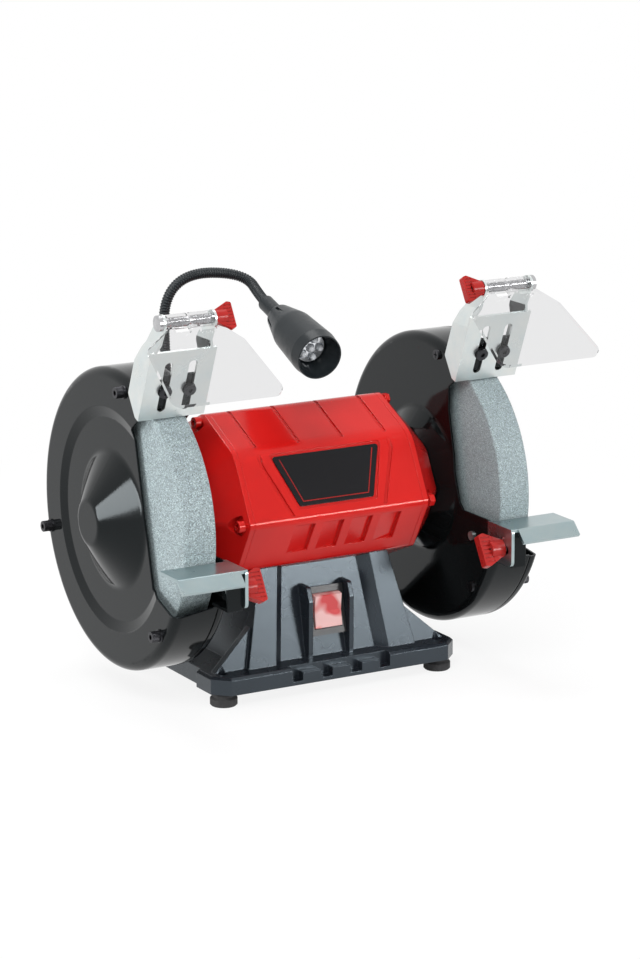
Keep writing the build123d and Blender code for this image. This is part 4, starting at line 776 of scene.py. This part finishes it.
class GRINDER_OT_stage(bpy.types.Operator):
    """Pale floor, white background, soft lamps and the camera"""

    bl_idname = "grinder.stage"
    bl_label = "Stage"

    def execute(self, context):
        make_floor()
        make_world()
        for lamp in LAMPS:
            make_lamp(*lamp)
        camera = bpy.data.cameras.new("camera")
        camera.lens = CAMERA_LENS
        camera.sensor_width = CAMERA_SENSOR
        camera.clip_end = CAMERA_REACH
        made = bpy.data.objects.new("camera", camera)
        aim(made, CAMERA_AT, CAMERA_TO)
        context.scene.collection.objects.link(made)
        context.scene.camera = made
        context.scene.view_settings.view_transform = "Standard"
        return {"FINISHED"}


def aim(made, place, target):
    """Put an object at a place and point its -Z at the target."""
    made.location = place
    made.rotation_euler = (Vector(target) - Vector(place)).to_track_quat("-Z", "Y").to_euler()


def make_lamp(name, place, target, width, height, power):
    """Soft rectangular lamp."""
    data = bpy.data.lights.new(name, "AREA")
    data.shape = "RECTANGLE"
    data.size = width
    data.size_y = height
    data.energy = power
    made = bpy.data.objects.new(name, data)
    aim(made, place, target)
    bpy.context.scene.collection.objects.link(made)


def backdrop_rays(tree):
    """1 for rays that see the plain background: straight on, through glass or in a reflection."""
    rays = tree.nodes.new("ShaderNodeLightPath").outputs
    straight = calc(tree, "MAXIMUM", rays["Is Camera Ray"], rays["Is Transmission Ray"])
    return calc(tree, "MAXIMUM", straight, rays["Is Glossy Ray"])


def fade(tree, value, start, end, low, high):
    """Value that goes from low at start to high at end."""
    spread = tree.nodes.new("ShaderNodeMapRange")
    for socket, number in zip(spread.inputs[1:5], (start, end, low, high)):
        socket.default_value = number
    tree.links.new(value, spread.inputs["Value"])
    return spread.outputs["Result"]


def make_floor():
    """Floor that is white to the eye and keeps a soft shadow near the object."""
    material = bpy.data.materials.new("floor")
    material.use_nodes = True
    tree = material.node_tree
    tree.nodes.remove(tree.nodes["Principled BSDF"])
    away = tree.nodes.new("ShaderNodeVectorMath")
    away.operation = "LENGTH"
    tree.links.new(tree.nodes.new("ShaderNodeTexCoord").outputs["Object"], away.inputs[0])
    matt = tree.nodes.new("ShaderNodeBsdfDiffuse")
    matt.inputs["Color"].default_value = (*shade(colours().floor, FLOOR_MATT), 1.0)
    glow = tree.nodes.new("ShaderNodeEmission")
    glow.inputs["Color"].default_value = (*colours().floor, 1.0)
    share = fade(tree, away.outputs["Value"], SHADOW_NEAR, SHADOW_FAR, SHADOW_WHITE, 1.0)
    mix = tree.nodes.new("ShaderNodeMixShader")
    tree.links.new(calc(tree, "MULTIPLY", backdrop_rays(tree), share), mix.inputs["Fac"])
    tree.links.new(matt.outputs["BSDF"], mix.inputs[1])
    tree.links.new(glow.outputs["Emission"], mix.inputs[2])
    tree.links.new(mix.outputs["Shader"], tree.nodes["Material Output"].inputs["Surface"])
    mesh = bpy.data.meshes.new("floor")
    ways = ((-1, -1), (1, -1), (1, 1), (-1, 1))
    mesh.from_pydata([(x * FLOOR_REACH, y * FLOOR_REACH, 0) for x, y in ways], [], [(0, 1, 2, 3)])
    add_object("floor", mesh, material)


def make_world():
    """White to the eye and in reflections, and a plain fill for the light on the object."""
    world = bpy.data.worlds.new("studio")
    world.use_nodes = True
    tree = world.node_tree
    back = tree.nodes["Background"]
    back.inputs["Color"].default_value = (*colours().floor, 1.0)
    strength = fade(tree, backdrop_rays(tree), 0.0, 1.0, WORLD_FILL, 1.0)
    tree.links.new(strength, back.inputs["Strength"])
    bpy.context.scene.world = world


class GRINDER_PT_panel(bpy.types.Panel):
    """Lists the pieces of the grinder"""

    bl_idname = "GRINDER_PT_panel"
    bl_label = "Bench grinder"
    bl_space_type = "VIEW_3D"
    bl_region_type = "UI"
    bl_category = "Grinder"

    def draw(self, context):
        for step in STEPS:
            self.layout.operator(step.bl_idname)


STEPS = (
    GRINDER_OT_stage,
    GRINDER_OT_lamp,
    GRINDER_OT_guards,
    GRINDER_OT_motor,
    GRINDER_OT_base,
    GRINDER_OT_wheels,
    GRINDER_OT_shields,
    GRINDER_OT_inside,
)
CLASSES = (GrinderColours, GrinderSizes, *STEPS, GRINDER_PT_panel)


def register():
    for kind in CLASSES:
        bpy.utils.register_class(kind)
    bpy.types.Scene.grinder_colours = PointerProperty(type=GrinderColours)
    bpy.types.Scene.grinder_sizes = PointerProperty(type=GrinderSizes)


def unregister():
    del bpy.types.Scene.grinder_sizes
    del bpy.types.Scene.grinder_colours
    for kind in reversed(CLASSES):
        bpy.utils.unregister_class(kind)


def main():
    register()
    for step in STEPS:
        group, name = step.bl_idname.split(".")
        getattr(getattr(bpy.ops, group), name)()


if __name__ == "__main__":
    main()
